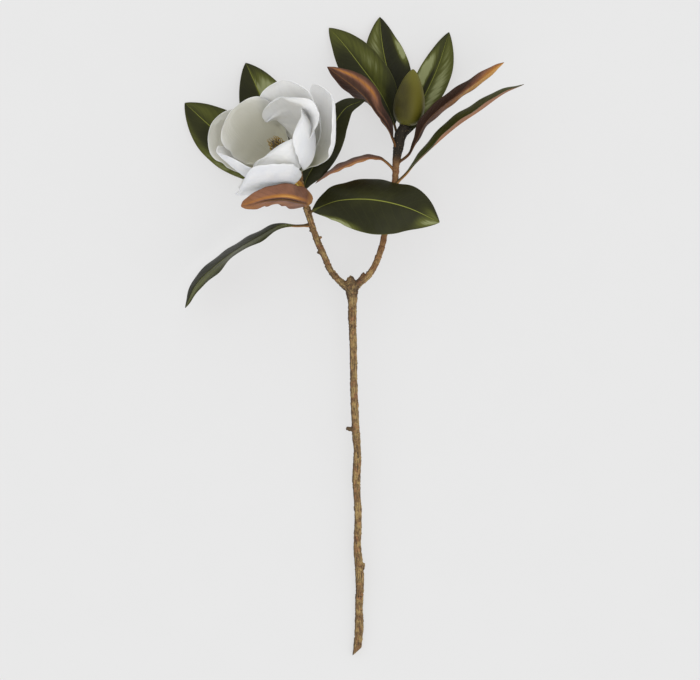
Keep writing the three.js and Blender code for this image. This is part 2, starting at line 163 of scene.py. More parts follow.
def mesh_object(name, points, faces, finishes, face_finish=None, growth=None, tone=None):
    """A smooth-shaded mesh object from points in millimetres, with growth and painted light for each.
    """
    mesh = bpy.data.meshes.new(name)
    mesh.from_pydata((np.asarray(points) * MM).tolist(), [], faces)
    for finish in finishes:
        mesh.materials.append(finish)
    if face_finish is not None:
        mesh.polygons.foreach_set("material_index", np.asarray(face_finish, int))
    if growth is not None:
        paint_growth(mesh, growth)
    if tone is not None:
        mesh.attributes.new("tone", "FLOAT", "POINT").data.foreach_set("value", tone)
    shade_smooth(mesh)
    mesh.validate()
    return linked(name, mesh)


def skin(rings, columns):
    """Quads over closed rings of points, with a cap at each end."""
    i, j = np.meshgrid(np.arange(rings - 1), np.arange(columns), indexing="ij")
    here, after = i * columns + j, i * columns + (j + 1) % columns
    quads = np.stack([here, after, after + columns, here + columns], -1).reshape(-1, 4).tolist()
    foot = list(range(columns))[::-1]
    head = list(range((rings - 1) * columns, rings * columns))
    return [*quads, foot, head]


def round_turns(sides):
    """The angles of a ring's points, evenly spaced."""
    return 2 * np.pi * np.arange(sides) / sides


def turned_form(name, radius, height, share, turn, finish):
    """A closed form round +Z from a row of radii, a height and a growth share for each ring."""
    rings = np.broadcast_arrays(radius * np.cos(turn), radius * np.sin(turn), height[:, None])
    points = np.stack(rings, -1).reshape(-1, 3)
    faces = skin(len(height), len(turn))
    return mesh_object(name, points, faces, [finish], growth=ring_growth(share, turn))


def ring_growth(share, turn):
    """Growth coordinates for rings of points: each ring's share, and the turn round it, 0 to 1."""
    return np.stack(np.broadcast_arrays(share[:, None], turn / (2 * np.pi)), -1).reshape(-1, 2)


def grown(made, slot, *nodes):
    """Makes a finished object part of the branch, in place of the frame's plain solids."""
    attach(made, "root")
    if nodes:
        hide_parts(*nodes)
    return made


def settled(source, name):
    """The evaluated object as a plain mesh object, in place of the source and its modifiers."""
    shaped = source.evaluated_get(bpy.context.evaluated_depsgraph_get())
    mesh = bpy.data.meshes.new_from_object(shaped)
    mesh.name = name
    bpy.data.objects.remove(source)
    return linked(name, mesh)


# Node trees ------------------------------------------------------------------------------------


class Wire:
    """An output socket whose value takes part in Python sums: each operator adds a Math node."""

    def __init__(self, tree, socket):
        self.tree, self.socket = tree, socket

    def __add__(self, other):
        return self.tree.maths("ADD", self, other)

    def __sub__(self, other):
        return self.tree.maths("SUBTRACT", self, other)

    def __rsub__(self, other):
        return self.tree.maths("SUBTRACT", other, self)

    def __mul__(self, other):
        return self.tree.maths("MULTIPLY", self, other)

    def __truediv__(self, other):
        return self.tree.maths("DIVIDE", self, other)

    def __pow__(self, other):
        return self.tree.maths("POWER", self, other)

    def __abs__(self):
        return self.tree.maths("ABSOLUTE", self)

    __radd__, __rmul__ = __add__, __mul__


class Tree:
    """A node tree that grows by one method, node, and by sums of its wires."""

    def __init__(self, nodes):
        self.tree = nodes
        self.tree.nodes.clear()

    def node(self, kind, settings=None, inputs=None, output=0):
        """A new node with its settings and the values or wires of its sockets, as its output."""
        made = self.tree.nodes.new(kind)
        for key, value in (settings or {}).items():
            setattr(made, key, value)
        for key, value in (inputs or {}).items():
            if isinstance(value, Wire):
                self.tree.links.new(value.socket, made.inputs[key])
            else:
                made.inputs[key].default_value = value
        return Wire(self, made.outputs[output]) if len(made.outputs) else made

    def maths(self, operation, *terms):
        return self.node("ShaderNodeMath", {"operation": operation}, dict(enumerate(terms)))

    def clamped(self, value):
        return self.node("ShaderNodeClamp", inputs={0: value})

    def step(self, low, high, value):
        """0 below low and 1 above high, smooth between; high may be the lower."""
        edges = {"Value": value, "From Min": low, "From Max": high}
        return self.node("ShaderNodeMapRange", {"interpolation_type": "SMOOTHSTEP"}, edges)

    def colours(self, share, first, second):
        """A share of the second colour mixed into the first."""
        first, second = (c if isinstance(c, Wire) else (*c, 1) for c in (first, second))
        inputs = {0: share, 6: first, 7: second}
        return self.node("ShaderNodeMix", {"data_type": "RGBA"}, inputs, 2)

    def layers(self, colour, *coats):
        """A colour under coats of (share, colour), each laid over the last."""
        for share, coat in coats:
            colour = self.colours(share, colour, coat)
        return colour


class Finish(Tree):
    """A procedural material."""

    def __init__(self, name):
        self.material = bpy.data.materials.new(name)
        self.material.use_nodes = True
        super().__init__(self.material.node_tree)

    def place(self):
        """The place on the branch, in metres."""
        return self.node("ShaderNodeTexCoord", output="Object")

    def parted(self, vector):
        """A vector's three numbers, each on its own wire."""
        split = self.node("ShaderNodeSeparateXYZ", inputs={0: vector}).socket.node
        return [Wire(self, out) for out in split.outputs]

    def growth(self):
        """The two growth coordinates here, the second stretched from 0..1 to -1..1.

        On a blade they are the share along it from its foot, and the place across it, with 0 on
        its rib. On wood they run along the limb and, in half turns from its top, round it.
        """
        b, v, _ = self.parted(self.node("ShaderNodeUVMap", {"uv_map": "growth"}))
        return b, v * 2 - 1

    def tone(self):
        """How much painted light, or painted shade below 0, this spot of a blade or tepal has."""
        return self.node("ShaderNodeAttribute", {"attribute_name": "tone"}, output="Fac")

    def noise(self, size, detail=3, roughness=0.55):
        """Soft noise from 0 to 1 with features about size millimetres across."""
        return self._noise_at(self.place(), 1 / (size * MM), detail, roughness)

    def grain(self, x, y, z=0, scale=1, detail=4, roughness=0.5):
        """Noise over three numbers, drawn out along those that change slowly."""
        where = self.node("ShaderNodeCombineXYZ", inputs={0: x, 1: y, 2: z})
        return self._noise_at(where, scale, detail, roughness)

    def _noise_at(self, where, scale, detail, roughness):
        inputs = {"Vector": where, "Scale": scale, "Detail": detail, "Roughness": roughness}
        return self.node("ShaderNodeTexNoise", inputs=inputs)

    def relief(self, *heights):
        """A normal bent by heights from 0 to 1, each with how many millimetres proud it stands."""
        inputs = {"Strength": 1.0}
        for height, depth in heights:
            inputs |= {"Height": height, "Distance": depth * MM}
            inputs["Normal"] = self.node("ShaderNodeBump", inputs=inputs)
        return inputs["Normal"]

    def surface(self, **inputs):
        """Ends the tree in one shader; the names' underscores stand for spaces."""
        named = {key.replace("_", " "): value for key, value in inputs.items()}
        shader = self.node("ShaderNodeBsdfPrincipled", inputs=named)
        self.node("ShaderNodeOutputMaterial", inputs={"Surface": shader})
        return self.material


# Finishes --------------------------------------------------------------------------------------

VEIN_PAIRS = 13
VEIN_SWEEP = 0.17  # how far towards the tip a side vein runs by the margin, as a share of length
VEIN_CURVE = 1.3  # 1 for straight side veins, more for veins that bend to the tip on their way out
BARK_PAINTED_SHADE_SIDE = 0.42  # half turns round a limb, from its top towards its left, to the side painted with shade
NET_CELLS = 620.0  # cells of the finest veins to a metre
CUT_RINGS = 420.0  # growth rings to a metre, before they are distorted
TABLE_GLOW = 0.565

# In a list of layers, the first colour is the ground and each line under it is a coat: how much of
# it there is, and its colour.


def side_veins(tree, b, v):
    """1 along the side veins of a leaf, 0 between them."""
    start = b - VEIN_SWEEP * abs(v) ** VEIN_CURVE + 0.5 / VEIN_PAIRS * tree.step(-0.01, 0.01, v)
    rows = start * VEIN_PAIRS
    off = abs(rows - tree.maths("ROUND", rows)) * 2
    return tree.step(0.2, 0.0, off) * tree.step(0.98, 0.7, abs(v))


def rib_line(tree, b, v, width):
    """1 on the midrib and on the whole petiole, 0 on the blade."""
    half = width + 1.1 * (1 - b) ** 40
    return tree.step(1.0, 0.55, abs(v) / half)


def leaf_top():
    """Dark glossy green with a thin yellow-green rib and margin, and painted sheen and shade."""
    tree = Finish("leaf_gloss_green")
    b, v = tree.growth()
    tone = tree.tone()
    broad = tree.noise(38, detail=2)
    fine = tree.noise(2.2, detail=4)
    streaks = tree.grain(b * 22 - abs(v) * 5, v * 1.2, scale=1.3)
    net = tree.node("ShaderNodeTexVoronoi", {"feature": "DISTANCE_TO_EDGE"},
                    {"Vector": tree.place(), "Scale": NET_CELLS})
    veins = side_veins(tree, b, v)
    rib = rib_line(tree, b, v, 0.02)
    # Painted sheen in streaks where the patches are above 0, painted shade where they are below
    pale = tree.clamped(tone * (0.75 + 0.5 * tree.step(0.3, 0.7, streaks)))
    painted_shade = tree.clamped(0 - tone)
    margin = tree.step(0.965, 1.0, abs(v))
    green = tree.layers(
        (0.0155, 0.0155, 0.0055),
        (tree.step(0.4, 0.75, broad), (0.029, 0.03, 0.008)),  # broad lighter clouds
        (tree.step(0.35, 0.75, fine) * 0.4, (0.022, 0.023, 0.009)),  # fine mottling
        (tree.step(-0.1, 0.5, pale), (0.085, 0.092, 0.018)),  # painted yellow-green sheen
        (tree.step(0.4, 1.0, pale) * 0.9, (0.28, 0.3, 0.14)),  # the palest middles of the painted sheen
        (painted_shade * 0.8, (0.007, 0.0075, 0.004)),  # painted shade
        (veins * 0.03, (0.14, 0.16, 0.03)),
        (rib * tree.step(-0.2, 0.5, b) * 0.9, (0.25, 0.27, 0.045)),
        (margin * 0.5, (0.13, 0.14, 0.03)),
        (tree.step(0.03, 0.0, b), (0.1, 0.06, 0.022)),  # brown petiole
    )
    relief = tree.relief((tree.step(0.0, 0.12, net), 0.03), (streaks, 0.25), (1 - veins, 0.06))
    shine = 0.3 + 0.14 * fine + 0.1 * rib
    return tree.surface(Base_Color=green, Roughness=shine, Normal=relief, Specular_IOR_Level=0.13)


def leaf_felt():
    """The rusty felt of a leaf's underside with raised veins, painted gold highlights and shade."""
    tree = Finish("leaf_rust_felt")
    b, v = tree.growth()
    tone = tree.tone()
    broad = tree.noise(22, detail=3)
    fine = tree.noise(0.9, detail=5, roughness=0.7)
    veins = side_veins(tree, b, v)
    rib = rib_line(tree, b, v, 0.035)
    # Painted shade where the patches are below 0
    painted_shade = tree.clamped(0 - tone)
    margin = tree.step(0.93, 1.0, abs(v))
    felt = tree.layers(
        (0.14, 0.055, 0.03),
        (tree.step(0.3, 0.7, broad), (0.25, 0.11, 0.062)),  # broad lighter clouds
        (tree.step(0.35, 0.8, fine) * 0.22, (0.34, 0.17, 0.1)),  # nap
        (veins * 0.2, (0.09, 0.036, 0.018)),
        (painted_shade * 0.95, (0.02, 0.0085, 0.0055)),  # painted shade
        (tree.clamped(tone) * 0.9, (0.42, 0.17, 0.03)),  # painted orange highlights
        (tree.step(1.0, 1.7, tone) * 0.9, (0.65, 0.34, 0.09)),  # painted gold highlights where they are strongest
        (rib * 0.4, (0.3, 0.13, 0.03)),
        (margin * 0.6, (0.035, 0.018, 0.01)),
        (tree.step(0.12, 0.0, b) * (1 - painted_shade) * 0.7, (0.36, 0.18, 0.045)),  # golden petiole
    )
    return tree.surface(
        Base_Color=felt, Roughness=0.55, Normal=tree.relief((fine, 0.14), (veins, 0.35)),
        Sheen_Weight=0.05, Sheen_Roughness=0.5, Sheen_Tint=(0.9, 0.6, 0.45, 1),
        Specular_IOR_Level=0.2,
    )


def scale_gold():
    """The golden bud scale under the bloom, with a yellow line down its middle."""
    tree = Finish("scale_gold")
    b, v = tree.growth()
    gold = tree.layers(
        (0.3, 0.12, 0.012),
        (tree.step(0.3, 0.7, tree.noise(4)), (0.5, 0.25, 0.025)),
        (tree.step(0.2, 0.05, abs(v)) * 0.9, (0.8, 0.62, 0.12)),  # middle line
        (tree.step(0.75, 1.0, abs(v)) * 0.8, (0.1, 0.035, 0.01)),  # brown edges
    )
    relief = tree.relief((tree.noise(1.2), 0.1))
    return tree.surface(Base_Color=gold, Roughness=0.5 + 0.2 * b, Normal=relief)


def tepal_white(name, inside):
    """Waxy white, khaki-green towards the foot, faint lengthwise veins; painted light and shade."""
    tree = Finish(name)
    b, v = tree.growth()
    tone = tree.tone()
    veins = tree.grain(b * 0.6, v * 7, z=0.3, scale=3)
    cloud = tree.step(0.35, 0.7, tree.noise(24))
    rim = tree.step(0.93, 1.0, abs(v))
    if inside:
        white = tree.layers(
            (0.72, 0.72, 0.72),
            (cloud, (0.8, 0.8, 0.79)),
            (tree.step(0.9, 0.3, b) * 0.9, (0.6, 0.585, 0.43)),  # own cream plus painted shade in the cup
        )
    else:
        white = tree.layers(
            (0.63, 0.645, 0.68),
            (cloud, (0.71, 0.715, 0.73)),
            (tree.step(0.6, 0.1, b) * 0.6, (0.46, 0.47, 0.43)),  # painted shade lower down
            (tree.step(0.3, 0.08, b) * 0.7, (0.5, 0.52, 0.33)),  # then greenish
        )
    white = tree.layers(
        white,
        # Painted light where the patches are above 0; painted shade, with a khaki tint, where below
        (tree.clamped(tone) * 0.8, (0.86, 0.86, 0.85)),
        (tree.clamped(0 - tone) * 0.8, (0.5, 0.49, 0.41)),
        (tree.step(0.24, 0.06, b) * 0.85, (0.24, 0.24, 0.11)),  # khaki foot, deepened as painted shade
        (tree.step(0.45, 0.75, veins) * 0.12, (0.6, 0.6, 0.56)),
        # Painted highlight along the rims, where light shines through them
        (rim * 0.3, (0.88, 0.88, 0.89)),
    )
    return tree.surface(
        Base_Color=white, Roughness=0.55, Normal=tree.relief((veins, 0.4), (tree.noise(1.4), 0.06)),
        Subsurface_Weight=0.85, Subsurface_Radius=(1.0, 0.97, 0.9), Subsurface_Scale=0.004,
    )


def bark():
    """Tan to olive bark, streaked along limbs, ringed with scars, painted shade on one side."""
    tree = Finish("bark_tan")
    x, y, _ = tree.parted(tree.place())
    run, turn = tree.growth()
    streaks = tree.grain(run * 9, turn * 9, detail=5, roughness=0.65)
    rings = tree.grain(run * 40, turn * 2.5, detail=5, roughness=0.65)
    flecks = tree.noise(2.4, detail=5, roughness=0.75)
    # Painted shade down each limb's left side
    painted_side_shade = tree.step(0.24, 0.06, abs(turn - BARK_PAINTED_SHADE_SIDE))
    from_fork = ((x - FORK[0] * MM) ** 2 + (y - FORK[1] * MM) ** 2) ** 0.5
    crotch = tree.step(0.02, 0.006, from_fork) * tree.step(0.35, 0.6, flecks)
    bud_twig = tree.step(0.05, 0.12, y) * tree.step(-0.01, 0.01, x)
    # The bud stalk, painted near black: its own dark scale, deepened as painted shade under the leaves
    shaded_bud_stalk = tree.step(0.2, 0.218, y) * tree.step(0.0, 0.03, x)
    tan = tree.layers(
        (0.2, 0.115, 0.045),
        (tree.step(0.4, 0.6, tree.noise(9, detail=4)), (0.37, 0.25, 0.095)),  # lighter clouds
        (tree.step(0.52, 0.68, tree.noise(6, detail=2)) * 0.6, (0.33, 0.14, 0.06)),  # red patches
        (tree.step(0.42, 0.3, flecks) * 0.4, (0.56, 0.46, 0.3)),  # pale flecks
        (tree.step(0.42, 0.3, streaks) * 0.5, (0.5, 0.37, 0.18)),  # pale streaks
        (tree.step(0.48, 0.62, streaks) * 0.9, (0.065, 0.038, 0.02)),  # dark streaks
        (tree.step(0.58, 0.68, rings) * 0.55, (0.05, 0.027, 0.013)),
        (tree.step(0.55, 0.62, flecks) * 0.8, (0.024, 0.013, 0.008)),  # dark flecks
        # painted shade on the left side
        (painted_side_shade * 0.8, (0.045, 0.026, 0.014)),
        (crotch * 0.8, (0.05, 0.03, 0.02)),
        (bud_twig * 0.6, (0.2, 0.08, 0.03)),
        # painted shade on the bud stalk
        (shaded_bud_stalk * 0.95, (0.008, 0.008, 0.005)),
    )
    return tree.surface(
        Base_Color=tan, Roughness=0.55 + 0.3 * streaks, Specular_IOR_Level=0.3,
        Normal=tree.relief((streaks, 0.8), (rings, 0.5), (flecks, 0.5)),
    )


def cut_wood():
    """The pale face of the slanting cut, with growth rings round a dark pith."""
    tree = Finish("cut_wood")
    rings = tree.node("ShaderNodeTexWave", {"wave_type": "RINGS", "rings_direction": "Y"},
                      {"Vector": tree.place(), "Scale": CUT_RINGS, "Distortion": 1.5})
    wood = tree.colours(tree.step(0.2, 0.8, rings), (0.42, 0.3, 0.14), (0.6, 0.47, 0.27))
    return tree.surface(Base_Color=wood, Roughness=0.8, Normal=tree.relief((rings, 0.1)))


def lenticel():
    """The cork of the small warts on the bark."""
    tree = Finish("lenticel_cork")
    cork = tree.colours(tree.noise(1.1), (0.1, 0.062, 0.026), (0.3, 0.21, 0.11))
    return tree.surface(Base_Color=cork, Roughness=0.9, Normal=tree.relief((tree.noise(0.4), 0.1)))


def bud_down():
    """Olive spathe with short silky down, painted light on its right side and at its foot and tip."""
    tree = Finish("bud_olive_down")
    h, turn = tree.growth()
    x = tree.parted(tree.place())[0]
    fibres = tree.grain(h * 2, turn * 46, scale=2)
    olive = tree.layers(
        (0.04, 0.034, 0.009),
        (tree.step(0.3, 0.7, tree.noise(16, detail=2)), (0.055, 0.048, 0.01)),
        (tree.step(0.058, 0.078, x), (0.12, 0.105, 0.012)),  # painted light on the right side
        (tree.step(0.45, 0.7, fibres) * 0.15, (0.12, 0.11, 0.025)),
        (tree.step(0.6, 1.0, h) * 0.6, (0.15, 0.14, 0.022)),  # painted highlight at the tip
        (tree.step(0.2, 0.0, h) * 0.6, (0.14, 0.13, 0.02)),  # painted highlight at the foot
    )
    return tree.surface(
        Base_Color=olive, Roughness=0.5, Normal=tree.relief((fibres, 0.06)), Sheen_Weight=0.06,
        Sheen_Roughness=0.3, Sheen_Tint=(0.75, 0.75, 0.3, 1), Specular_IOR_Level=0.15,
    )


def organ_finish(name, foot, tip, speck):
    """A matt finish for the small organs of the bloom, from a foot to a tip colour."""
    tree = Finish(name)
    b, _ = tree.growth()
    specks = tree.step(0.45, 0.7, tree.noise(1.6, detail=4))
    colour = tree.layers(foot, (tree.step(0.1, 0.75, b), tip), (specks * 0.6, speck))
    relief = tree.relief((tree.noise(0.6), 0.08))
    return tree.surface(Base_Color=colour, Roughness=0.65, Normal=relief, Sheen_Weight=0.15)


def table_top():
    """The pale matt sheet of a light table, lit a little from below."""
    tree = Finish("table_pale")
    grain = tree.noise(60, detail=2)
    pale = tree.colours(grain, (0.215, 0.215, 0.215), (0.225, 0.225, 0.225))
    return tree.surface(Base_Color=pale, Roughness=0.9, Specular_IOR_Level=0.1,
                        Emission_Color=(1, 1, 1, 1), Emission_Strength=TABLE_GLOW)


# Blades ----------------------------------------------------------------------------------------

FOLD_REACH = 0.06  # the share of a half blade, out from its rib, over which its fold sets in


def turned_about(vectors, axes, angles):
    """Each vector turned about its own unit axis, square to it, by its own angle."""
    sin, cos = np.sin(angles)[:, None], np.cos(angles)[:, None]
    return vectors * cos + np.cross(axes, vectors) * sin


def joined(left, right):
    """The left and right halves of each ring's run over a face, from margin to margin."""
    return np.concatenate([left[:, :0:-1], right], 1)


def blade_points(shape, u, v):
    """The rings of a thin blade at shares u along its spine and v, 0 to 1, out to its margins.

    Each ring runs over the upper face from margin to margin and back under it. Also gives the
    growth coordinates of every point.
    """
    spine = shape["spine"]
    centre, tangent = spine.point(u), spine.tangent(u)
    facing = np.broadcast_to(shape["facing"], tangent.shape)
    normal = unit(facing - tangent * np.sum(facing * tangent, 1, keepdims=True))
    normal = turned_about(normal, tangent, np.radians(along(shape["roll"], u)))
    left = np.cross(normal, tangent)
    half, fold, bend = shape["half_width"](u), along(shape["fold"], u), along(shape["bend"], u)
    middle = (v[1:] + v[:-1]) / 2

    def side(hand, face):
        turning = (bend + shape["ripple"](u, hand))[:, None]
        slope = np.radians(fold[:, None] * smooth(0, FOLD_REACH, middle) + turning * middle)
        run = half[:, None] * np.diff(v)
        across = np.cumsum(np.pad(run * np.cos(slope), ((0, 0), (1, 0))), 1)
        up = np.cumsum(np.pad(run * np.sin(slope), ((0, 0), (1, 0))), 1)
        tilt = np.radians(fold[:, None] * smooth(0, FOLD_REACH, v) + turning * v)
        lift = face * shape["thickness"](u[:, None], v[None, :], face)
        lift = lift + shape["relief"](u[:, None], hand * v[None, :])
        sideways = (hand * (across - lift * np.sin(tilt)))[..., None]
        upwards = (up + lift * np.cos(tilt))[..., None]
        return centre[:, None] + left[:, None] * sideways + normal[:, None] * upwards

    over = joined(side(1, 1), side(-1, 1))
    under = joined(side(1, -1), side(-1, -1))[:, -2:0:-1]
    across = np.concatenate([v[:0:-1], -v])
    across = np.concatenate([across, across[-2:0:-1]])
    rings = np.concatenate([over, under], 1)
    growth = np.broadcast_arrays(shape["share"](u)[:, None], 0.5 + across[None, :] / 2)
    return rings, np.stack(growth, -1)


def blade(name, shape, u, v, finishes):
    """A closed blade whose upper face takes the first finish and its underside the second."""
    rings, growth = blade_points(shape, u, v)
    count, columns = rings.shape[:2]
    faces = skin(count, columns)
    upper = np.arange(columns) < 2 * (len(v) - 1)
    face_finish = np.concatenate([np.tile(~upper, count - 1), [True, True]])
    growth = growth.reshape(-1, 2)
    run, out = growth[:, 0], 2 * growth[:, 1] - 1
    # Painted light and shade: soft patches that make the blade paler above 0 and darker below it
    tone = np.zeros(len(growth))
    for b, v, length, breadth, strength in shape["light_patches"]:
        tone += strength * np.exp(-((run - b) / length) ** 2 - ((out - v) / breadth) ** 2)
    return mesh_object(name, rings.reshape(-1, 3), faces, finishes, face_finish, growth, tone)


# Leaves ----------------------------------------------------------------------------------------

LEAF_THICKNESS = 0.8
MIDRIB_DEPTH = 0.9
PETIOLE_RADIUS = 1.7
PETIOLE_LENGTH = 20
PETIOLE_SWELLING = 0.9  # how much stouter a petiole is where it leaves the twig
MARGIN_WAVES = 2.3
QUILTING = 0.09  # how far a blade swells between its side veins
LEAF_RINGS = 120
LEAF_COLUMNS = 15  # from the rib to a margin

# Spines run from the middle of the twig, along the petiole and the midrib, to the tip. Angles are
# in degrees: roll turns a blade about its spine, fold lifts its halves from the rib, bend curls
# them up further out, and wave is how far its margins ripple. Lists are spread evenly along it.
LEAVES = {
    "leaf_lower_left": dict(
        spine=[
            [-52, 132, 42], [-67, 131, 45], [-88, 131, 49], [-115, 117, 48],
            [-142, 101, 45], [-168, 81, 40], [-189, 60, 35], [-202, 33, 31],
        ],
        width=48, roll=[60, 64, 68, 76, 68, 64, 60], fold=[4, 6, 8, 10, 6, 6, 8],
    ),
    "leaf_behind_bloom_left": dict(
        spine=[
            [-60, 164, 46], [-70, 170, 32], [-90, 184, 16],
            [-120, 208, 7.5], [-160, 240, 5], [-203, 279, 1.2],
        ],
        width=64, widest=0.6, roll=0, fold=6, wave=10,
    ),
    "leaf_behind_bloom_top": dict(
        spine=[
            [-62, 171, 47], [-68, 184, 34], [-80, 212, 20],
            [-97, 250, 12], [-113, 290, 8], [-130, 327, 4],
        ],
        width=60, widest=0.6, roll=4, fold=9, wave=10,
    ),
    "leaf_beside_bloom": dict(
        spine=[
            [-61, 166, 46], [-58, 184, 46], [-47, 205, 42], [-35, 229, 42],
            [-23, 254, 47], [-8, 273, 55], [14, 281, 60],
        ],
        width=42, petiole=7, widest=0.45, roll=[0, 0, -6, -10, -14, -26, -30], fold=8, wave=6,
    ),
    "leaf_between_twigs": dict(
        spine=[
            [51, 192, 45], [43, 203, 46], [30, 212, 47], [10, 211, 46],
            [-11, 203, 44], [-29, 194, 40], [-46, 182, 36],
        ],
        width=35, roll=[125, 116, 106, 103, 103, 100, 98], fold=9,
    ),
    "leaf_front": dict(
        spine=[
            [-55, 146, 44], [-47, 150, 54], [-34, 156, 64], [-17, 161, 71],
            [20, 162, 77], [62, 153, 77], [102, 135, 70],
        ],
        width=82, petiole=9, widest=0.51, roll=[-4, -18, -25, -27, -22, -8, 0],
        fold=[-4, -12, -17, -19, -17, -8, -4], bend=-14, wave=3,
    ),
    "leaf_curled": dict(
        spine=[
            [-57, 155, 46], [-57, 156, 74], [-66, 158, 108], [-85, 161, 134],
            [-106, 159, 142], [-121, 155, 137], [-134, 153, 126],
        ],
        width=46, widest=0.36, point=0.42, roll=158, fold=[0, 24, 44, 46, 47, 42, 26], bend=10,
    ),
    "bract_under_bloom": dict(
        spine=[[-63, 170, 48], [-64, 174, 53], [-67, 179, 57], [-71, 184, 59], [-76, 189, 59]],
        width=14, petiole=3, widest=0.4, roll=0, fold=20,
    ),
    "leaf_bud_left": dict(
        spine=[
            [53, 235, 45], [45, 262, 28], [32, 290, 20],
            [8, 323, 14], [-12, 349, 8], [-30, 369, 3],
        ],
        width=52, roll=0, fold=18, wave=10,
    ),
    "leaf_bud_back": dict(
        spine=[
            [56, 242, 45], [55, 262, 22], [46, 300, 9],
            [38, 328, 7], [33, 356, 5.5], [31, 382, 4.5],
        ],
        width=54, roll=10, fold=8, wave=10,
    ),
    "leaf_bud_right": dict(
        spine=[
            [53, 221, 46], [61, 238, 34], [71, 260, 22],
            [86, 290, 12], [101, 323, 5], [114, 364, 0.9],
        ],
        width=41, widest=0.56, roll=0, fold=18, wave=6,
    ),
    "leaf_bud_front": dict(
        spine=[
            [52, 217, 46], [48, 231, 51], [39, 250, 55], [26, 267, 57],
            [15, 283, 58], [1, 296, 57], [-16, 309, 53], [-32, 321, 49],
        ],
        width=38, roll=[150, 124, 124, 106, 132, 150, 160, 166], fold=22, bend=6,
    ),
    "leaf_side_upper": dict(
        spine=[
            [50, 205, 45], [65, 216, 51], [73, 231, 56], [84, 253, 60],
            [104, 273, 62], [126, 289, 63], [146, 303, 62], [179, 326, 59],
        ],
        width=42, roll=[-104, -110, -112, -112, -110, -110, -116, -122], fold=10,
    ),
    "leaf_side_lower": dict(
        spine=[
            [49, 181, 45], [61, 192, 49], [73, 206, 53], [105, 236, 56],
            [126, 253, 57], [150, 269, 57], [180, 290, 54], [203, 300, 50],
        ],
        width=42, roll=[-72, -70, -72, -76, -77, -77, -77, -77],
        fold=[10, 14, 22, 27, 28, 28, 26, 20],
    ),
}

# Painted light on a leaf (or painted shade, below 0): patches with their place along the blade,
# their place across it (1 is the margin to the left of the tip), length, breadth and strength.
LEAF_PAINTED_LIGHT = {
    "leaf_lower_left": [
        (0.35, 0.5, 0.3, 0.35, 0.3), (0.85, 0.45, 0.2, 0.35, 0.5), (0.6, -0.7, 0.6, 0.5, -0.9),
        (0.06, 0.0, 0.08, 1.0, 0.6),
    ],
    "leaf_behind_bloom_left": [(0.75, -0.5, 0.4, 0.5, 0.35), (0.45, 0.9, 0.4, 0.15, 0.6)],
    "leaf_behind_bloom_top": [
        (0.72, -0.5, 0.14, 0.4, 1.3), (0.6, -0.06, 0.4, 0.1, 0.8), (0.6, 0.5, 0.5, 0.5, -0.3),
    ],
    "leaf_beside_bloom": [(0.6, 0.0, 0.9, 0.9, -0.5)],
    "leaf_front": [
        (0.95, -0.5, 0.09, 0.4, 1.0), (0.96, 0.3, 0.08, 0.3, 0.5), (0.2, -0.98, 0.14, 0.16, 1.5),
        (0.38, 0.72, 0.2, 0.3, -0.7), (0.5, 0.1, 0.15, 0.15, 0.12), (0.5, -0.4, 0.3, 0.4, -0.3),
    ],
    "leaf_bud_left": [
        (0.95, 0.0, 0.2, 1.2, 0.35), (0.55, -0.5, 0.2, 0.4, 0.6), (0.5, 0.5, 0.4, 0.5, -0.15),
        (0.1, -0.3, 0.2, 0.6, -0.6), (0.3, -0.1, 0.12, 0.25, 0.5),
    ],
    "leaf_bud_back": [
        (0.7, 0.45, 0.35, 0.45, 0.7), (0.68, -0.85, 0.11, 0.16, 1.5), (0.6, -0.3, 0.5, 0.3, -0.6),
    ],
    "leaf_bud_right": [
        (0.62, 0.63, 0.17, 0.27, 1.7), (0.35, 0.5, 0.2, 0.12, 0.9), (0.5, 0.2, 0.14, 0.08, -0.7),
        (0.75, -0.5, 0.3, 0.6, 0.5), (0.45, -0.5, 0.2, 0.3, 0.9), (0.2, 0.85, 0.14, 0.3, -0.9),
    ],
    "leaf_curled": [
        (0.45, 0.22, 0.35, 0.09, 2.0), (0.55, 0.02, 0.35, 0.09, -1.3), (0.5, -0.6, 0.5, 0.3, 0.4),
        (0.95, 0.0, 0.12, 1.0, 0.5), (0.1, 0.0, 0.3, 1.5, -0.25),
    ],
    "leaf_bud_front": [
        (0.0, 0.0, 0.3, 2.0, -0.6),
        (0.5, 0.0, 0.9, 2.0, -0.9), (0.8, 0.62, 0.2, 0.15, 1.9), (0.5, 0.6, 0.14, 0.15, 1.7),
        (0.2, -0.3, 0.2, 0.4, 0.45), (0.75, -0.6, 0.25, 0.3, -0.3), (0.3, 0.35, 0.2, 0.1, 0.9),
    ],
    "leaf_side_upper": [
        (0.3, 0.0, 0.4, 1.8, -0.85), (0.75, 0.6, 0.35, 0.4, 2.2), (0.95, 0.0, 0.2, 1.2, 1.6),
        (0.5, -0.8, 0.5, 0.7, -1.3), (0.0, 0.0, 0.2, 2.0, -0.7),
    ],
    "leaf_side_lower": [(0.5, 0.0, 0.9, 2.0, 0.3)],
    "leaf_between_twigs": [(0.5, 0.75, 0.6, 0.5, -0.9), (0.45, -0.6, 0.6, 0.6, 1.2)],
}


def leaf_outline(b, widest, point):
    """Half the width of an elliptic leaf from its foot to its tip, for a full width of 2."""
    return np.sin(np.pi * np.power(b, math.log(0.5) / math.log(widest))) ** point


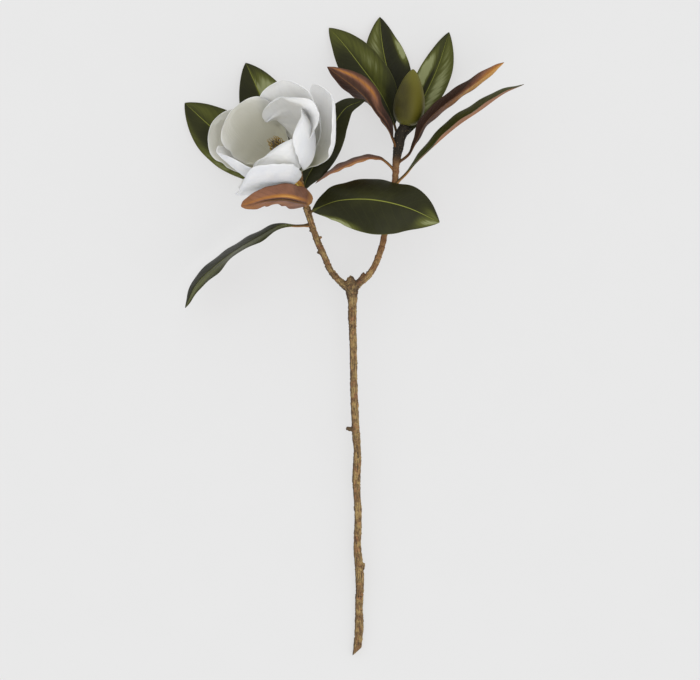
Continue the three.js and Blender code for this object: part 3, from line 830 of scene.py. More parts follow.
def leaf(name, finishes, spine, width, petiole=PETIOLE_LENGTH, widest=0.52, point=0.8, roll=0,
         fold=0, bend=-12, wave=0, light_patches=()):
    """A leathery leaf, flat but for its fold and bend, with its midrib raised on the underside."""
    spine = Spine(spine)
    foot = petiole / spine.length
    seed = sum(map(ord, name))

    def share(u):
        return np.clip((u - foot) / (1 - foot), 0, 1)

    def swelling(u):
        return PETIOLE_SWELLING * smooth(9, 2, u * spine.length)

    def half_width(u):
        blade_half = width / 2 * leaf_outline(np.minimum(share(u), 0.999), widest, point)
        return np.maximum(blade_half, mix(PETIOLE_RADIUS, 0.3, u) + swelling(u))

    def thickness(u, v, face):
        b = share(u)
        stalk = (PETIOLE_RADIUS + swelling(u)) * np.sqrt(1 - v**2)
        rib = 0 if face > 0 else MIDRIB_DEPTH * (1 - b) ** 0.7 * np.exp(-((v / 0.035) ** 2))
        sheet = (LEAF_THICKNESS / 2 * mix(1, 0.7, b)) * np.sqrt(1 - v**8) + rib
        return mix(stalk, sheet, smooth(0, 0.1, b))

    def relief(u, v):
        b, out = share(u), np.abs(v)
        rows = (b - VEIN_SWEEP * out**VEIN_CURVE + 0.5 / VEIN_PAIRS * (v > 0)) * VEIN_PAIRS
        swell = QUILTING * np.abs(np.sin(np.pi * rows)) * np.sin(np.pi * np.clip(out, 0, 1)) ** 0.6
        groove = -0.25 * np.exp(-((v / 0.05) ** 2))
        curl = 0.5 * out**4 * np.sin(b * 34 + seed) + 0.35 * out**2 * np.sin(b * 19 + v * 3 + seed)
        fade = smooth(0.04, 0.16, b) * smooth(1.0, 0.93, b)
        return fade * (swell + groove + curl)

    def ripple(u, hand):
        return wave * smooth(0.2, 0.4, u) * np.sin(2 * np.pi * (MARGIN_WAVES * u + 0.2 * hand))

    shape = dict(spine=spine, facing=UP, half_width=half_width, thickness=thickness, relief=relief,
                 roll=roll, fold=fold, bend=bend, ripple=ripple, share=share, light_patches=light_patches)
    u = np.linspace(0, 1, LEAF_RINGS)
    v = (1 - np.cos(np.pi * np.linspace(0, 1, LEAF_COLUMNS))) / 2
    return blade(name, shape, u, v, finishes)


# Bloom -----------------------------------------------------------------------------------------

# The bloom's own frame: its foot, the axis that its cup opens along, and two directions square to
# it. Tepals are placed by their turn about the axis, from the front, which faces up, to the side.
BLOOM_FOOT = np.array([-68.0, 199.0, 58.0])
BLOOM_TILT = math.radians(38)
BLOOM_HEADING = math.radians(131)
BLOOM_AXIS = np.array([
    math.cos(BLOOM_TILT) * math.cos(BLOOM_HEADING),
    math.cos(BLOOM_TILT) * math.sin(BLOOM_HEADING),
    math.sin(BLOOM_TILT),
])
BLOOM_FRONT = unit(UP - BLOOM_AXIS * (UP @ BLOOM_AXIS))
BLOOM_SIDE = np.cross(BLOOM_AXIS, BLOOM_FRONT)

PETAL_THICKNESS = 1.2
CLAW_THICKNESS = 1.8
PETAL_RINGS = 80
PETAL_COLUMNS = 26  # from the middle to a margin
STAMEN_ZONE = (13, 27)
PISTIL_TOP = 56
CORE_RINGS, CORE_SIDES = 40, 40
ORGAN_RINGS, ORGAN_SIDES = 9, 8
POLE_RADIUS = 0.05  # how small a turned form's end ring may be

# Profiles run from a tepal's foot to its tip: radius from the bloom's axis, and height along it.
# Angles are in degrees: lean is how far the turn shifts by the tip, roll and bend are as a leaf's,
# and cup curls the left and right margins in by so much more. Claw is the width of the foot.
PETALS = {
    "petal_inner_front": dict(
        turn=-17, lean=-16, width=104, widest=0.74, taper=0.95, claw=24, cup=(12, 0),
        profile=[[3, 12], [18, 12], [33, 24], [41, 41], [43, 56], [39, 70]],
        bend=[20, 46, 52, 50, 50, 44],
    ),
    "petal_inner_back": dict(
        turn=194, width=88,
        profile=[[3, 9.6], [20, 9.3], [38, 22], [49, 42], [55, 63], [59, 87]],
        bend=[20, 42, 48, 46, 40, 20],
    ),
    "petal_inner_top": dict(
        turn=89, lean=16, width=116, widest=0.8, taper=1.2, blunt=5, cup=(28, -60),
        profile=[[3, 13], [18, 12.6], [33, 23], [46, 43], [50, 62], [45, 85]],
        bend=[20, 46, 58, 60, 54, 34],
    ),
    "petal_middle_right": dict(
        turn=43, lean=11, width=68, widest=0.7, taper=0.9, blunt=6, roll=2,
        profile=[[3, 8], [22, 7.5], [38, 20], [50, 42], [54, 62], [55, 79]],
        bend=[16, 40, 46, 46, 44, 30],
    ),
    "petal_middle_top": dict(
        turn=112, lean=7, width=105, widest=0.76, roll=5,
        profile=[[3, 4.6], [24, 4.6], [46, 19], [59, 43], [63, 68], [65, 90]],
        bend=[16, 38, 50, 50, 46, 28],
    ),
    "petal_middle_left": dict(
        turn=276, lean=-19, width=92, roll=[0, 0, 4, 8, 10, 10],
        profile=[[3, 6.8], [22, 5.5], [41, 17], [52, 36], [57, 58], [61, 86]],
        bend=[16, 42, 48, 46, 38, 24],
    ),
    "petal_outer_right": dict(
        turn=72, width=88, widest=0.8, taper=0.9, blunt=5, claw=26, cup=(0, 10),
        roll=[0, 0, 5, 9, 12, 12],
        profile=[[3, 2], [27, -2], [51, 7], [68, 27], [82, 51], [92, 71]],
        bend=[16, 32, 40, 44, 38, 24],
    ),
    "petal_outer_left": dict(
        turn=211, lean=-2, width=82, roll=3,
        profile=[[3, 2.6], [26, 0], [50, 9], [68, 28], [80, 53], [84, 80]],
        bend=[16, 34, 42, 42, 34, 16],
    ),
    "petal_outer_bottom": dict(
        turn=312, lean=-22, width=114, blunt=7, roll=[4, 4, 4, 8, 15, 20],
        profile=[[3, 1], [20, 0], [38, 9], [53, 24], [65, 38], [75, 51]],
        bend=[16, 40, 54, 54, 44, 28],
    ),
}

# Painted light on a tepal (or painted shade, below 0), in patches given as a leaf's are.
PETAL_PAINTED_LIGHT = {
    "petal_outer_left": [(0.6, 0.0, 0.7, 2.0, -1.0)],
    "petal_inner_back": [(0.55, 0.0, 0.8, 1.6, -1.1)],
    "petal_inner_top": [(0.6, 0.0, 0.9, 2.0, 1.0), (0.9, 0.0, 0.3, 2.0, 0.5)],
    "petal_middle_top": [(0.6, 0.0, 0.9, 2.0, 0.9)],
    "petal_middle_right": [(0.7, 0.0, 0.9, 2.0, 0.5)],
    "petal_outer_right": [(0.7, 0.0, 0.6, 2.0, 1.0)],
    "petal_inner_front": [(0.9, 0.0, 0.3, 2.0, 1.0)],
}


def in_bloom(radius, height, turn):
    """A point of the bloom at a radius from the axis, a height along it and a turn in degrees."""
    out = BLOOM_FRONT * math.cos(math.radians(turn)) + BLOOM_SIDE * math.sin(math.radians(turn))
    return BLOOM_FOOT + BLOOM_AXIS * height + out * radius


def set_on_bloom(made):
    """Moves a piece that was made about +Z onto the bloom's axis."""
    turned = Matrix([Vector(way) for way in (BLOOM_FRONT, BLOOM_SIDE, BLOOM_AXIS)]).transposed()
    made.data.transform(Matrix.Translation(Vector(BLOOM_FOOT * MM)) @ turned.to_4x4())


def petal_outline(b, widest, taper, blunt):
    """Half the width of a tepal from its foot to its tip, for a full width of 2."""
    rise = np.sin(np.pi / 2 * np.minimum(b / widest, 1)) ** taper
    close = np.sqrt(1.0001 - np.clip((b - widest) / (1 - widest), 0, 1) ** blunt)
    return np.where(b < widest, rise, close)


def tepal(name, turn, width, profile, bend, lean=0, roll=0, widest=0.66, taper=1.05, claw=16,
          blunt=3, cup=(0, 0), light_patches=()):
    """A tepal of the bloom, a thick blade whose margins are ragged and whose face is dented."""
    last = len(profile) - 1
    spine = Spine([
        in_bloom(r, h, turn + lean * (i / last) ** 2) for i, (r, h) in enumerate(profile)
    ])
    seed = sum(map(ord, name))

    def half_width(u):
        ragged = 1 + 0.012 * np.sin(u * 31 + seed) + 0.01 * np.sin(u * 57 + seed)
        blade_width = width * petal_outline(u, widest, taper, blunt) * ragged
        return np.maximum(mix(claw, 0, u), blade_width) / 2

    def thickness(u, v, face):
        sheet = mix(CLAW_THICKNESS, PETAL_THICKNESS, smooth(0, 0.35, u)) / 2
        return sheet * np.sqrt(1 - np.abs(v) ** 10)

    def relief(u, v):
        out = np.abs(v)
        grooves = 0.12 * np.sin(v * 26 + seed) * (1 - out) * smooth(0.1, 0.3, u)
        edge = np.maximum(out, smooth(0.75, 1, u)) ** 4
        rim = edge * (0.9 * np.sin(u * 15 + v * 3 + seed) + 0.4 * np.sin(u * 33 - v * 5 + seed))
        dents = 0.5 * np.sin(u * 8 + v * 4 + seed) + 0.2 * np.sin(u * 17 - v * 7 + 2 * seed)
        fade = smooth(1.0, 0.95, u)
        return fade * (grooves + smooth(0.35, 0.6, u) * rim + smooth(0.3, 0.7, u) * dents)

    def ripple(u, hand):
        return cup[0 if hand > 0 else 1] * smooth(0.4, 0.8, u)

    shape = dict(spine=spine, facing=BLOOM_AXIS - (in_bloom(1, 0, turn) - BLOOM_FOOT),
                 half_width=half_width, thickness=thickness, relief=relief, roll=roll, fold=0,
                 bend=bend, ripple=ripple, share=lambda u: u, light_patches=light_patches)
    u = np.sin(np.pi / 2 * np.linspace(0, 1, PETAL_RINGS))
    v = np.sin(np.pi / 2 * np.linspace(0, 1, PETAL_COLUMNS))
    return blade(name, shape, u, v, (TEPAL_INSIDE, TEPAL_OUTSIDE))


def lathe(name, profile, finish):
    """A turned form round +Z from a smooth line of [radius, height] points."""
    u = np.linspace(0, 1, CORE_RINGS)[1:-1]
    line = Spine([(r, 0, h) for r, h in profile]).point(u)
    radius = np.maximum(line[:, 0], POLE_RADIUS)[:, None]
    return turned_form(name, radius, line[:, 2], u, round_turns(CORE_SIDES), finish)


def horn(name, finish, points, widths, depths):
    """A small tapering organ along points [x, z] about +Z, with half its width and depth there."""
    spine = Spine([(x, 0, z) for x, z in points])
    u = np.linspace(0, 1, ORGAN_RINGS)
    turn = round_turns(ORGAN_SIDES)
    centre, tangent = spine.point(u), spine.tangent(u)
    side = np.array([0, 1.0, 0])
    out = np.cross(side, tangent)
    wide, deep = along(widths, u)[:, None, None], along(depths, u)[:, None, None]
    ring = wide * np.sin(turn)[None, :, None] * side
    rings = centre[:, None] + ring + deep * np.cos(turn)[None, :, None] * out[:, None]
    faces = skin(len(u), len(turn))
    return mesh_object(name, rings.reshape(-1, 3), faces, [finish], growth=ring_growth(u, turn))


# Geometry trees --------------------------------------------------------------------------------

ORGAN_JITTER = 0.12  # how far an organ's turn and lean, in radians, and its size may stray
LENTICEL_GAP = 1.6  # the least distance between two warts
LENTICEL_RADIUS = 0.42
LENTICEL_DENSITY = 60000.0  # to a square metre, before the gap is kept


def geometry_tree(name, inputs):
    """An empty Geometry Nodes tree with the given named inputs, and wires to read them."""
    group = bpy.data.node_groups.new(name, "GeometryNodeTree")
    for label, kind in inputs.items():
        group.interface.new_socket(label, in_out="INPUT", socket_type="NodeSocket" + kind)
    group.interface.new_socket("Geometry", in_out="OUTPUT", socket_type="NodeSocketGeometry")
    tree = Tree(group)
    source = group.nodes.new("NodeGroupInput")
    return tree, {label: Wire(tree, source.outputs[label]) for label in inputs}


def close_tree(tree, instances, finish):
    """Ends a tree in real faces with one finish."""
    real = tree.node("GeometryNodeRealizeInstances", inputs={0: instances})
    dressed = tree.node("GeometryNodeSetMaterial", inputs={"Geometry": real, "Material": finish})
    tree.node("NodeGroupOutput", inputs={0: dressed})


def spiral_tree():
    """Sets an organ round +Z on a climbing golden-angle spiral, leaning out from the axis."""
    kinds = {"Count": "Int", "Seed": "Int", "Organ": "Object", "Finish": "Material"}
    for value in ("height", "radius", "lean", "size"):
        kinds |= {"Foot " + value: "Float", "Top " + value: "Float"}
    tree, given = geometry_tree("golden_spiral", kinds)
    index = tree.node("GeometryNodeInputIndex")
    share = index / (given["Count"] - 1)

    def climbing(value):
        """Goes evenly from the value at the foot to the value at the top."""
        foot, top = given["Foot " + value], given["Top " + value]
        return foot + share * (top - foot)

    def drawn(low, high, step):
        limits = {2: low, 3: high, "ID": index, "Seed": given["Seed"] + step}
        return tree.node("FunctionNodeRandomValue", {"data_type": "FLOAT"}, limits, 1)

    turn = index * GOLDEN_ANGLE + drawn(-ORGAN_JITTER, ORGAN_JITTER, 1)
    radius, height = climbing("radius"), climbing("height")
    where = tree.node("ShaderNodeCombineXYZ", inputs={
        0: radius * tree.maths("COSINE", turn), 1: radius * tree.maths("SINE", turn), 2: height})
    points = tree.node("GeometryNodePoints", inputs={"Count": given["Count"], "Position": where})
    lean = climbing("lean") + drawn(-ORGAN_JITTER, ORGAN_JITTER, 2)
    attitude = tree.node("ShaderNodeCombineXYZ", inputs={1: lean, 2: turn})
    organ = tree.node("GeometryNodeObjectInfo", inputs={"Object": given["Organ"]}, output="Geometry")
    size = climbing("size") * drawn(1 - ORGAN_JITTER, 1 + ORGAN_JITTER, 3)
    placed = tree.node("GeometryNodeInstanceOnPoints", inputs={
        "Points": points, "Instance": organ, "Rotation": attitude, "Scale": size})
    close_tree(tree, placed, given["Finish"])
    return tree.tree


def lenticel_tree():
    """Scatters low corky warts over the bark, flat to its surface."""
    kinds = {"Bark": "Geometry", "Density": "Float", "Radius": "Float", "Seed": "Int"}
    tree, given = geometry_tree("lenticels", kinds | {"Finish": "Material"})
    spread = {"Mesh": given["Bark"], "Distance Min": LENTICEL_GAP * MM,
              "Density Max": given["Density"], "Seed": given["Seed"]}
    points = tree.node("GeometryNodeDistributePointsOnFaces", {"distribute_method": "POISSON"}, spread)
    upright = Wire(tree, points.socket.node.outputs["Rotation"])
    ball = {"Radius": given["Radius"], "Subdivisions": 1}
    wart = tree.node("GeometryNodeMeshIcoSphere", inputs=ball)
    size = tree.node("FunctionNodeRandomValue", {"data_type": "FLOAT_VECTOR"}, {
        0: (0.5, 0.6, 0.22), 1: (1.1, 1.9, 0.42), "Seed": given["Seed"]})
    placed = tree.node("GeometryNodeInstanceOnPoints", inputs={
        "Points": points, "Instance": wart, "Rotation": upright, "Scale": size})
    close_tree(tree, placed, given["Finish"])
    return tree.tree


def lift(mesh):
    """Raises any points of a mesh that lie under the table up to its top."""
    at = np.empty(len(mesh.vertices) * 3)
    mesh.vertices.foreach_get("co", at)
    at[2::3] = np.maximum(at[2::3], 0)
    mesh.vertices.foreach_set("co", at)


def grow_by_tree(name, tree, mesh, values):
    """A plain mesh object made by a tree, with each named input set by its identifier."""
    source = linked(name + "_source", mesh)
    growth = source.modifiers.new("growth", "NODES")
    growth.node_group = tree
    for item in tree.interface.items_tree:
        if item.item_type == "SOCKET" and item.name in values:
            growth[item.identifier] = values[item.name]
    made = settled(source, name)
    shade_smooth(made.data)
    return made


def core(name, slot, node, profile):
    """A turned core on the bloom's axis, in place of one of the frame's plain solids."""
    made = lathe(name, profile, CARPEL)
    set_on_bloom(made)
    grown(made, slot, node)


def ring_of_organs(name, slot, finish, organ, count, height, radius, lean, size, seed):
    """Repeats an organ up the bloom's axis, then removes the single one it was copied from.

    Pairs are for the foot and the top of the ring, in millimetres and radians.
    """
    values = {"Count": count, "Seed": seed, "Organ": organ, "Finish": finish}
    climbs = {"height": [h * MM for h in height], "radius": [r * MM for r in radius],
              "lean": lean, "size": size}
    for value, (foot, top) in climbs.items():
        values |= {"Foot " + value: foot, "Top " + value: top}
    made = grow_by_tree(name, GOLDEN_SPIRAL, bpy.data.meshes.new(name + "_points"), values)
    bpy.data.objects.remove(organ)
    set_on_bloom(made)
    grown(made, slot)


# Wood ------------------------------------------------------------------------------------------

RING_SPACING = 2.0
LIMB_SIDES = 20
LIMB_READINGS = 150  # places along a limb that its bark's growth is read from
BARK_GRAIN = 0.62  # the size of the cells that the limbs are fused in
SCAR_REACH = 14  # how far from a scar's middle it can shape the bark
SCAR_RADIUS = 2.2
CUT_PLACE = (5, -377.8, 0)
CUT_SLANT = math.radians(42)

# Centre lines and radii of the wood: x, y, z, radius.
STEM = [
    [3, -384, 4.3, 4.6], [6, -354, 4.6, 5.2], [6, -327, 6, 4.6], [7, -299, 8, 5],
    [6, -277, 10, 5.1], [4, -254, 12, 4.6], [5, -217, 15, 4.3], [3, -181, 17, 4.4],
    [3, -166, 18, 5.1], [4, -143, 20, 4.5], [2, -111, 22, 4.6], [0, -67, 25, 4.4],
    [-1, -9, 29, 4.4], [-2, 21, 31, 4.9], [-2, 43, 33, 5.7], [-3, 57, 34, 7.2],
]
BLOOM_TWIG = [
    [-3, 55, 34, 5.4], [-17, 65, 35, 4.2], [-28, 78, 37, 3.8], [-36, 96, 39, 3.7],
    [-43, 111, 41, 3.9], [-49, 128, 42, 3.7], [-56, 150, 45, 4.2], [-61, 167, 47, 4.4],
    [-65, 181, 50, 4.8], [-68, 197, 56, 6], [-70, 203, 60, 6],
]
BUD_TWIG = [
    [-3, 55, 34, 5.4], [9, 65, 36, 4.2], [18, 73, 37, 3.9], [25, 84, 38, 3.8],
    [34, 109, 40, 3.7], [40, 140, 42, 3.7], [49, 184, 44, 3.8], [50, 203, 45, 4.3],
    [53, 225, 46, 6], [56, 240, 47, 7], [63, 251, 48, 7],
]
# Each limb with how much it swells and thins on its way, the gap between its leaf scars, and where
# its bark's pattern starts, in decimetres.
LIMBS = [(STEM, 0.03, 31, 0), (BLOOM_TWIG, 0.02, 17, 7), (BUD_TWIG, 0.02, 19, 9)]
# Short broken spurs and leaf scars that stand out of the bark.
SPURS = [
    [[2, -113, 22, 3.2], [-4, -112, 23, 2.6], [-9, -111, 24, 2]],
    [[-4, 56, 34, 6], [-4, 65, 37, 5.4], [-5, 70, 39, 3.4]],
    [[4, 62, 35, 2.6], [9, 71, 38, 2], [12, 75, 39, 1.6]],
    [[7, -284, 10, 3], [10, -278, 11, 2.8], [12, -273, 11, 1.6]],
    [[-37, 98, 39, 2.2], [-42, 99, 41, 1.8], [-44, 100, 41, 1.5]],
    [[-44, 114, 41, 2.2], [-41, 117, 42, 1.8], [-39, 118, 42, 1.4]],
    [[-48, 125, 42, 2.2], [-51, 125, 43, 1.8], [-53, 126, 43, 1.4]],
]


def limb(points, swell):
    """The points and faces of a round limb, capped at both ends."""
    spine = Spine(points)
    u = np.linspace(0, 1, max(int(spine.length / RING_SPACING), 6))
    centre, tangent = spine.point(u), spine.tangent(u)
    radius = along([p[3] for p in points], spine.knot_share(u)) * (1 + swell * np.sin(u * 97))
    side = unit(np.cross(UP, tangent))
    over = np.cross(tangent, side)
    turn = round_turns(LIMB_SIDES)[None, :, None]
    rings = side[:, None] * np.cos(turn) + over[:, None] * np.sin(turn)
    rings = centre[:, None] + rings * radius[:, None, None]
    return rings.reshape(-1, 3), skin(len(u), LIMB_SIDES)


def hump(distance, reach):
    """1 at no distance, falling off softly beyond reach."""
    return np.exp(-((distance / reach) ** 2))


def wrinkles(points):
    """How far the bark's wrinkles, and the lumps at the fork, stand out or in at each point."""
    relief = 0.2 * wobble(points * [1, 0.25, 1], 1.6, 5) + 0.22 * wobble(points, 2.8, 9)
    relief += 0.16 * np.maximum(wobble(points, 1.1, 3), 0)
    lumps = 0.9 * wobble(points, 4.5, 8) + 0.5 * wobble(points, 2, 6)
    return relief + hump(np.linalg.norm(points - FORK, axis=1), 13) * lumps


def add_scars(relief, points, limb_points, gap, seed):
    """Adds a ring scar and a round leaf scar under it at each gap along a limb."""
    spine = Spine(limb_points)
    draw = np.random.default_rng(seed)
    places = np.arange(gap * 0.6, spine.length - gap * 0.4, gap)
    places = places + draw.uniform(-0.25, 0.25, len(places)) * gap
    for count, place in enumerate(places):
        share = np.array([place / spine.length])
        centre, tangent = spine.point(share)[0], spine.tangent(share)[0]
        off = points - centre
        near = np.linalg.norm(off, axis=1) < SCAR_REACH
        run = off[near] @ tangent
        relief[near] += 0.45 * hump(run, 0.7) - 0.25 * hump(run - 1.8, 0.8)
        side = unit(np.cross(UP, tangent))
        turn = count * GOLDEN_ANGLE + 1
        out = side * math.cos(turn) + np.cross(tangent, side) * math.sin(turn)
        radius = along([p[3] for p in limb_points], spine.knot_share(share))[0]
        from_scar = np.linalg.norm(off[near] - out * radius + tangent * 2.6, axis=1)
        relief[near] += 0.5 * hump(from_scar - SCAR_RADIUS, 0.6)
        relief[near] -= 0.25 * hump(from_scar, 1.5)


def limb_growth(points):
    """For each point, how many decimetres up its limb it lies, and its turn about that limb.

    The turn is 0.5 on top and 0 or 1 underneath. Each limb has its own start.
    """
    nearest = np.full(len(points), np.inf)
    growth = np.zeros((len(points), 2))
    for limb_points, _, _, start in LIMBS:
        spine = Spine(limb_points)
        u = np.linspace(0, 1, LIMB_READINGS)
        centre, tangent = spine.point(u), spine.tangent(u)
        gap = np.sum(points**2, 1)[:, None] - 2 * points @ centre.T + np.sum(centre**2, 1)
        k = np.argmin(gap, 1)
        gap = gap[np.arange(len(points)), k]
        off, way = points - centre[k], tangent[k]
        side = unit(np.cross(UP, way))
        turn = np.arctan2(np.sum(off * side, 1), np.sum(off * np.cross(way, side), 1))
        here = np.stack([start + u[k] * spine.length / 100, turn / (2 * np.pi) + 0.5], -1)
        closer = gap < nearest
        growth[closer], nearest[closer] = here[closer], gap[closer]
    return growth


def woody_stem():
    """The limbs and spurs fused into one skin, scarred, then cut at the foot of the stem."""
    points, faces = [], []
    limbs = [(line, swell) for line, swell, _, _ in LIMBS] + [(spur, 0) for spur in SPURS]
    for line, swell in limbs:
        more, quads = limb(line, swell)
        start = sum(len(p) for p in points)
        points.append(more)
        faces += [[start + corner for corner in face] for face in quads]
    rough = mesh_object("wood", np.vstack(points), faces, [BARK, CUT_WOOD])
    fuse = rough.modifiers.new("fuse", "REMESH")
    fuse.mode, fuse.voxel_size = "VOXEL", BARK_GRAIN * MM
    made = settled(rough, "woody_stem_bark")
    mesh = made.data
    count = len(mesh.vertices)
    at, normals = np.empty(count * 3), np.empty(count * 3)
    mesh.vertices.foreach_get("co", at)
    mesh.vertices.foreach_get("normal", normals)
    at, normals = at.reshape(-1, 3) / MM, normals.reshape(-1, 3)
    relief = wrinkles(at)
    for seed, (limb_points, _, gap, _) in enumerate(LIMBS):
        add_scars(relief, at, limb_points, gap, seed)
    at = at + normals * relief[:, None]
    at[:, 2] = np.maximum(at[:, 2], 0)
    mesh.vertices.foreach_set("co", (at * MM).ravel())
    paint_growth(mesh, limb_growth(at))
    cut(mesh)
    shade_smooth(mesh)
    return made


def cut(mesh):
    """Slices the stem's foot off on the slant and closes it with a face of bare wood."""
    form = bmesh.new()
    form.from_mesh(mesh)
    sliced = bmesh.ops.bisect_plane(
        form, geom=[*form.verts, *form.edges, *form.faces], clear_inner=True,
        plane_co=Vector(CUT_PLACE) * MM, plane_no=(-math.sin(CUT_SLANT), math.cos(CUT_SLANT), 0),
    )
    rim = [part for part in sliced["geom_cut"] if isinstance(part, bmesh.types.BMEdge)]
    for face in bmesh.ops.contextual_create(form, geom=rim)["faces"]:
        face.material_index = 1
    form.to_mesh(mesh)
    form.free()


# Bud -------------------------------------------------------------------------------------------

BUD_LENGTH = 68
BUD_RADIUS = 19.5
BUD_FOOT = Vector((63, 251, 48))
BUD_AXIS = Vector((8, 70, 6)).normalized()
BUD_RINGS = 70
BUD_SIDES = 96
LAP_HEIGHT = 0.55  # how far the spathe's outer edge stands off the layer under it


def bud():
    """Egg-shaped, widest a third of the way up, wrapped in one overlapping spathe."""
    share = (1 - np.cos(np.pi * np.linspace(0, 1, BUD_RINGS)[1:-1])) / 2
    turn = round_turns(BUD_SIDES)
    radius = BUD_RADIUS * np.sin(np.pi * share**0.62) ** 0.6
    seam = (turn[None, :] - 0.5 - 0.7 * share[:, None]) % (2 * np.pi)
    belly = np.sin(np.pi * share)[:, None]
    lap = LAP_HEIGHT * np.exp(-seam / 0.5) * smooth(0, 0.06, seam) * belly**0.4
    ribs = 0.12 * np.sin(turn * 9 + 2)[None, :] * belly
    radius = radius[:, None] * (1 - 0.012 * np.sin(turn * 2 + 1)) - 0.5 + lap + ribs
    radius = np.maximum(radius, POLE_RADIUS)
    made = turned_form("bud_spathe", radius, BUD_LENGTH * share, share, turn, BUD_DOWN)
    turned = Vector((0, 0, 1)).rotation_difference(BUD_AXIS).to_matrix().to_4x4()
    made.data.transform(Matrix.Translation(BUD_FOOT * MM) @ turned)
    return made


# Making ----------------------------------------------------------------------------------------

LEAF_TOP, LEAF_FELT, SCALE_GOLD = leaf_top(), leaf_felt(), scale_gold()
TEPAL_INSIDE, TEPAL_OUTSIDE = tepal_white("tepal_inside", True), tepal_white("tepal_outside", False)
BARK, CUT_WOOD, LENTICEL, BUD_DOWN = bark(), cut_wood(), lenticel(), bud_down()
STAMEN = organ_finish("stamen_cream", (0.12, 0.05, 0.03), (0.6, 0.44, 0.16), (0.2, 0.12, 0.04))
CARPEL = organ_finish(
    "carpel_down", (0.018, 0.011, 0.005), (0.07, 0.045, 0.014), (0.012, 0.007, 0.004))
STYLE = organ_finish("style_tip", (0.07, 0.035, 0.01), (0.5, 0.32, 0.05), (0.03, 0.014, 0.006))
GOLDEN_SPIRAL = spiral_tree()

for node, spec in LEAVES.items():
    name = node.replace("leaf_", "blade_").replace("bract_", "scale_")
    finishes = (SCALE_GOLD, SCALE_GOLD) if node.startswith("bract") else (LEAF_TOP, LEAF_FELT)
    grown(leaf(name, finishes, light_patches=LEAF_PAINTED_LIGHT.get(node, ()), **spec), "leaf", node)

for node, spec in PETALS.items():
    name = node.replace("petal_", "tepal_")
    grown(tepal(name, light_patches=PETAL_PAINTED_LIGHT.get(node, ()), **spec), "petal", node)

wood = grown(woody_stem(), "bark", "woody_stem")
warts = grow_by_tree("bark_lenticels", lenticel_tree(), wood.data, {
    "Density": LENTICEL_DENSITY, "Radius": LENTICEL_RADIUS * MM, "Seed": 4, "Finish": LENTICEL})
lift(warts.data)
grown(warts, "bark")
grown(bud(), "bud", "bud")

low, high = STAMEN_ZONE
core("receptacle", "stamen", "receptacle_with_stamens", [
    (0, 0.3), (6, 0.4), (8, 3), (7.6, low), (6, high), (4, high + 1), (0, high + 1)])
strap = horn("strap", STAMEN, points=[(0, 0), (4, 1.5), (6, 6), (5.4, 13)],
             widths=[0.7, 0.95, 0.9, 0.35], depths=[0.5, 0.4, 0.35, 0.2])
ring_of_organs("stamens", "stamen", STAMEN, strap, count=150, height=(low - 1, high - 1),
               radius=(6.2, 5.4), lean=(0.35, 0.0), size=(1.0, 0.95), seed=3)

core("pistil_core", "pistil", "pistil_cone", [
    (0, high), (5, high + 0.3), (6.6, high + 6), (6.2, high + 14), (3.4, PISTIL_TOP - 4),
    (0, PISTIL_TOP - 3)])
egg = horn("egg", CARPEL, points=[(-0.6, -0.8), (1.2, 0.2), (2.6, 1.8), (2.9, 3.2)],
           widths=[0.9, 1.6, 1.4, 0.3], depths=[0.9, 1.5, 1.2, 0.3])
ring_of_organs("carpels", "pistil", CARPEL, egg, count=64, height=(high + 2, PISTIL_TOP - 5),
               radius=(5.6, 3.0), lean=(0.1, -0.7), size=(1.0, 0.85), seed=7)
hook = horn("hook", STYLE,
            points=[(0, 0), (2.4, 1.6), (4.4, 4.0), (4.9, 6.6), (3.9, 8.0), (2.9, 7.2)],
            widths=[0.65, 0.55, 0.5, 0.42, 0.35, 0.15], depths=[0.5, 0.45, 0.4, 0.35, 0.3, 0.12])
ring_of_organs("styles", "pistil", STYLE, hook, count=64, height=(high + 3.4, PISTIL_TOP - 4),
               radius=(6.6, 3.6), lean=(0.15, -0.35), size=(1.0, 0.9), seed=11)


# Table, light and camera -----------------------------------------------------------------------

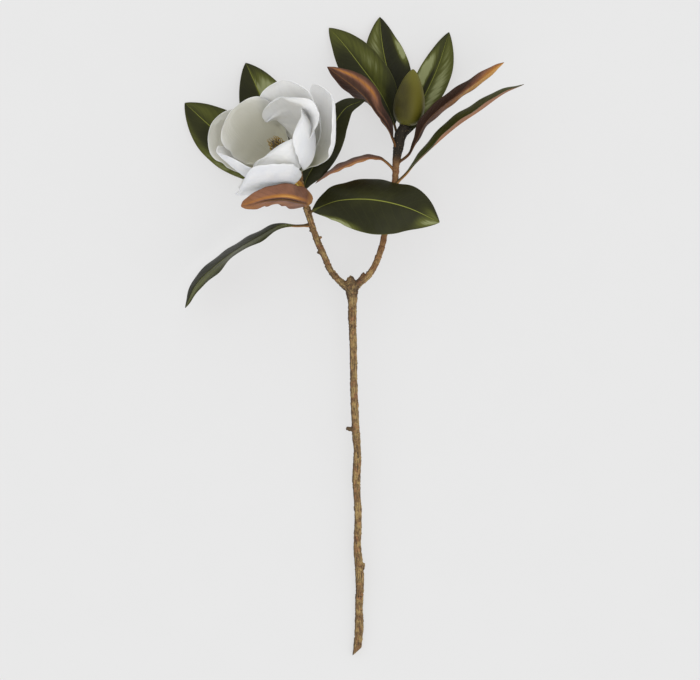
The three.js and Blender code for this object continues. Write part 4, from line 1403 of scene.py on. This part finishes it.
lowest, highest = cad_box
middle = (lowest + highest) / 2
FRAME_WIDTH = 840 * MM
LENS = 500
SENSOR = 36
AIM = Vector((-4.2, -4.6, 0)) * MM  # from the branch's middle to the middle of the view
TABLE_REACH = 9000
SKY_OVERHEAD, SKY_HORIZON = 0.6, 1.1
CORNERS = ((-1, -1, 0), (1, -1, 0), (1, 1, 0), (-1, 1, 0))


def table():
    made = mesh_object("table_top", np.array(CORNERS) * TABLE_REACH, [[0, 1, 2, 3]], [table_top()])


def soft_sun(name, way, strength, spread):
    """A distant light from a direction, spread over so many degrees of the sky."""
    lamp = bpy.data.lights.new(name, "SUN")
    lamp.energy, lamp.angle = strength, math.radians(spread)
    made = linked(name, lamp)
    made.rotation_mode = "QUATERNION"
    made.rotation_quaternion = Vector(way).to_track_quat("Z", "Y")


def sky():
    """A soft white tent of light, bright near the horizon and dim overhead."""
    world = bpy.data.worlds.new("studio")
    world.use_nodes = True
    bpy.context.scene.world = world
    tree = Tree(world.node_tree)
    way = tree.node("ShaderNodeTexCoord", output="Generated")
    height = tree.node("ShaderNodeSeparateXYZ", inputs={0: way}, output="Z")
    glow = SKY_OVERHEAD + (SKY_HORIZON - SKY_OVERHEAD) * tree.step(0.98, 0.5, height)
    light = tree.node("ShaderNodeBackground", inputs={"Color": (1, 1, 1, 1), "Strength": glow})
    tree.node("ShaderNodeOutputWorld", inputs={"Surface": light})


def camera():
    """Looks straight down from far off, so that the view is nearly flat."""
    lens = bpy.data.cameras.new("overhead")
    lens.lens, lens.sensor_width = LENS, SENSOR
    made = linked("overhead", lens)
    distance = FRAME_WIDTH * LENS / SENSOR
    lens.clip_start, lens.clip_end = distance * 0.5, distance * 2
    made.location = Vector((middle.x, middle.y, 0)) + AIM + Vector((0, 0, distance))
    bpy.context.scene.camera = made


table()
sky()
soft_sun("key_right", (0.3, -0.3, 1.0), strength=0.7, spread=50)
soft_sun("fill_back", (-0.2, 0.5, 1.0), strength=0.12, spread=70)
camera()
bpy.context.scene.view_settings.view_transform = "Standard"
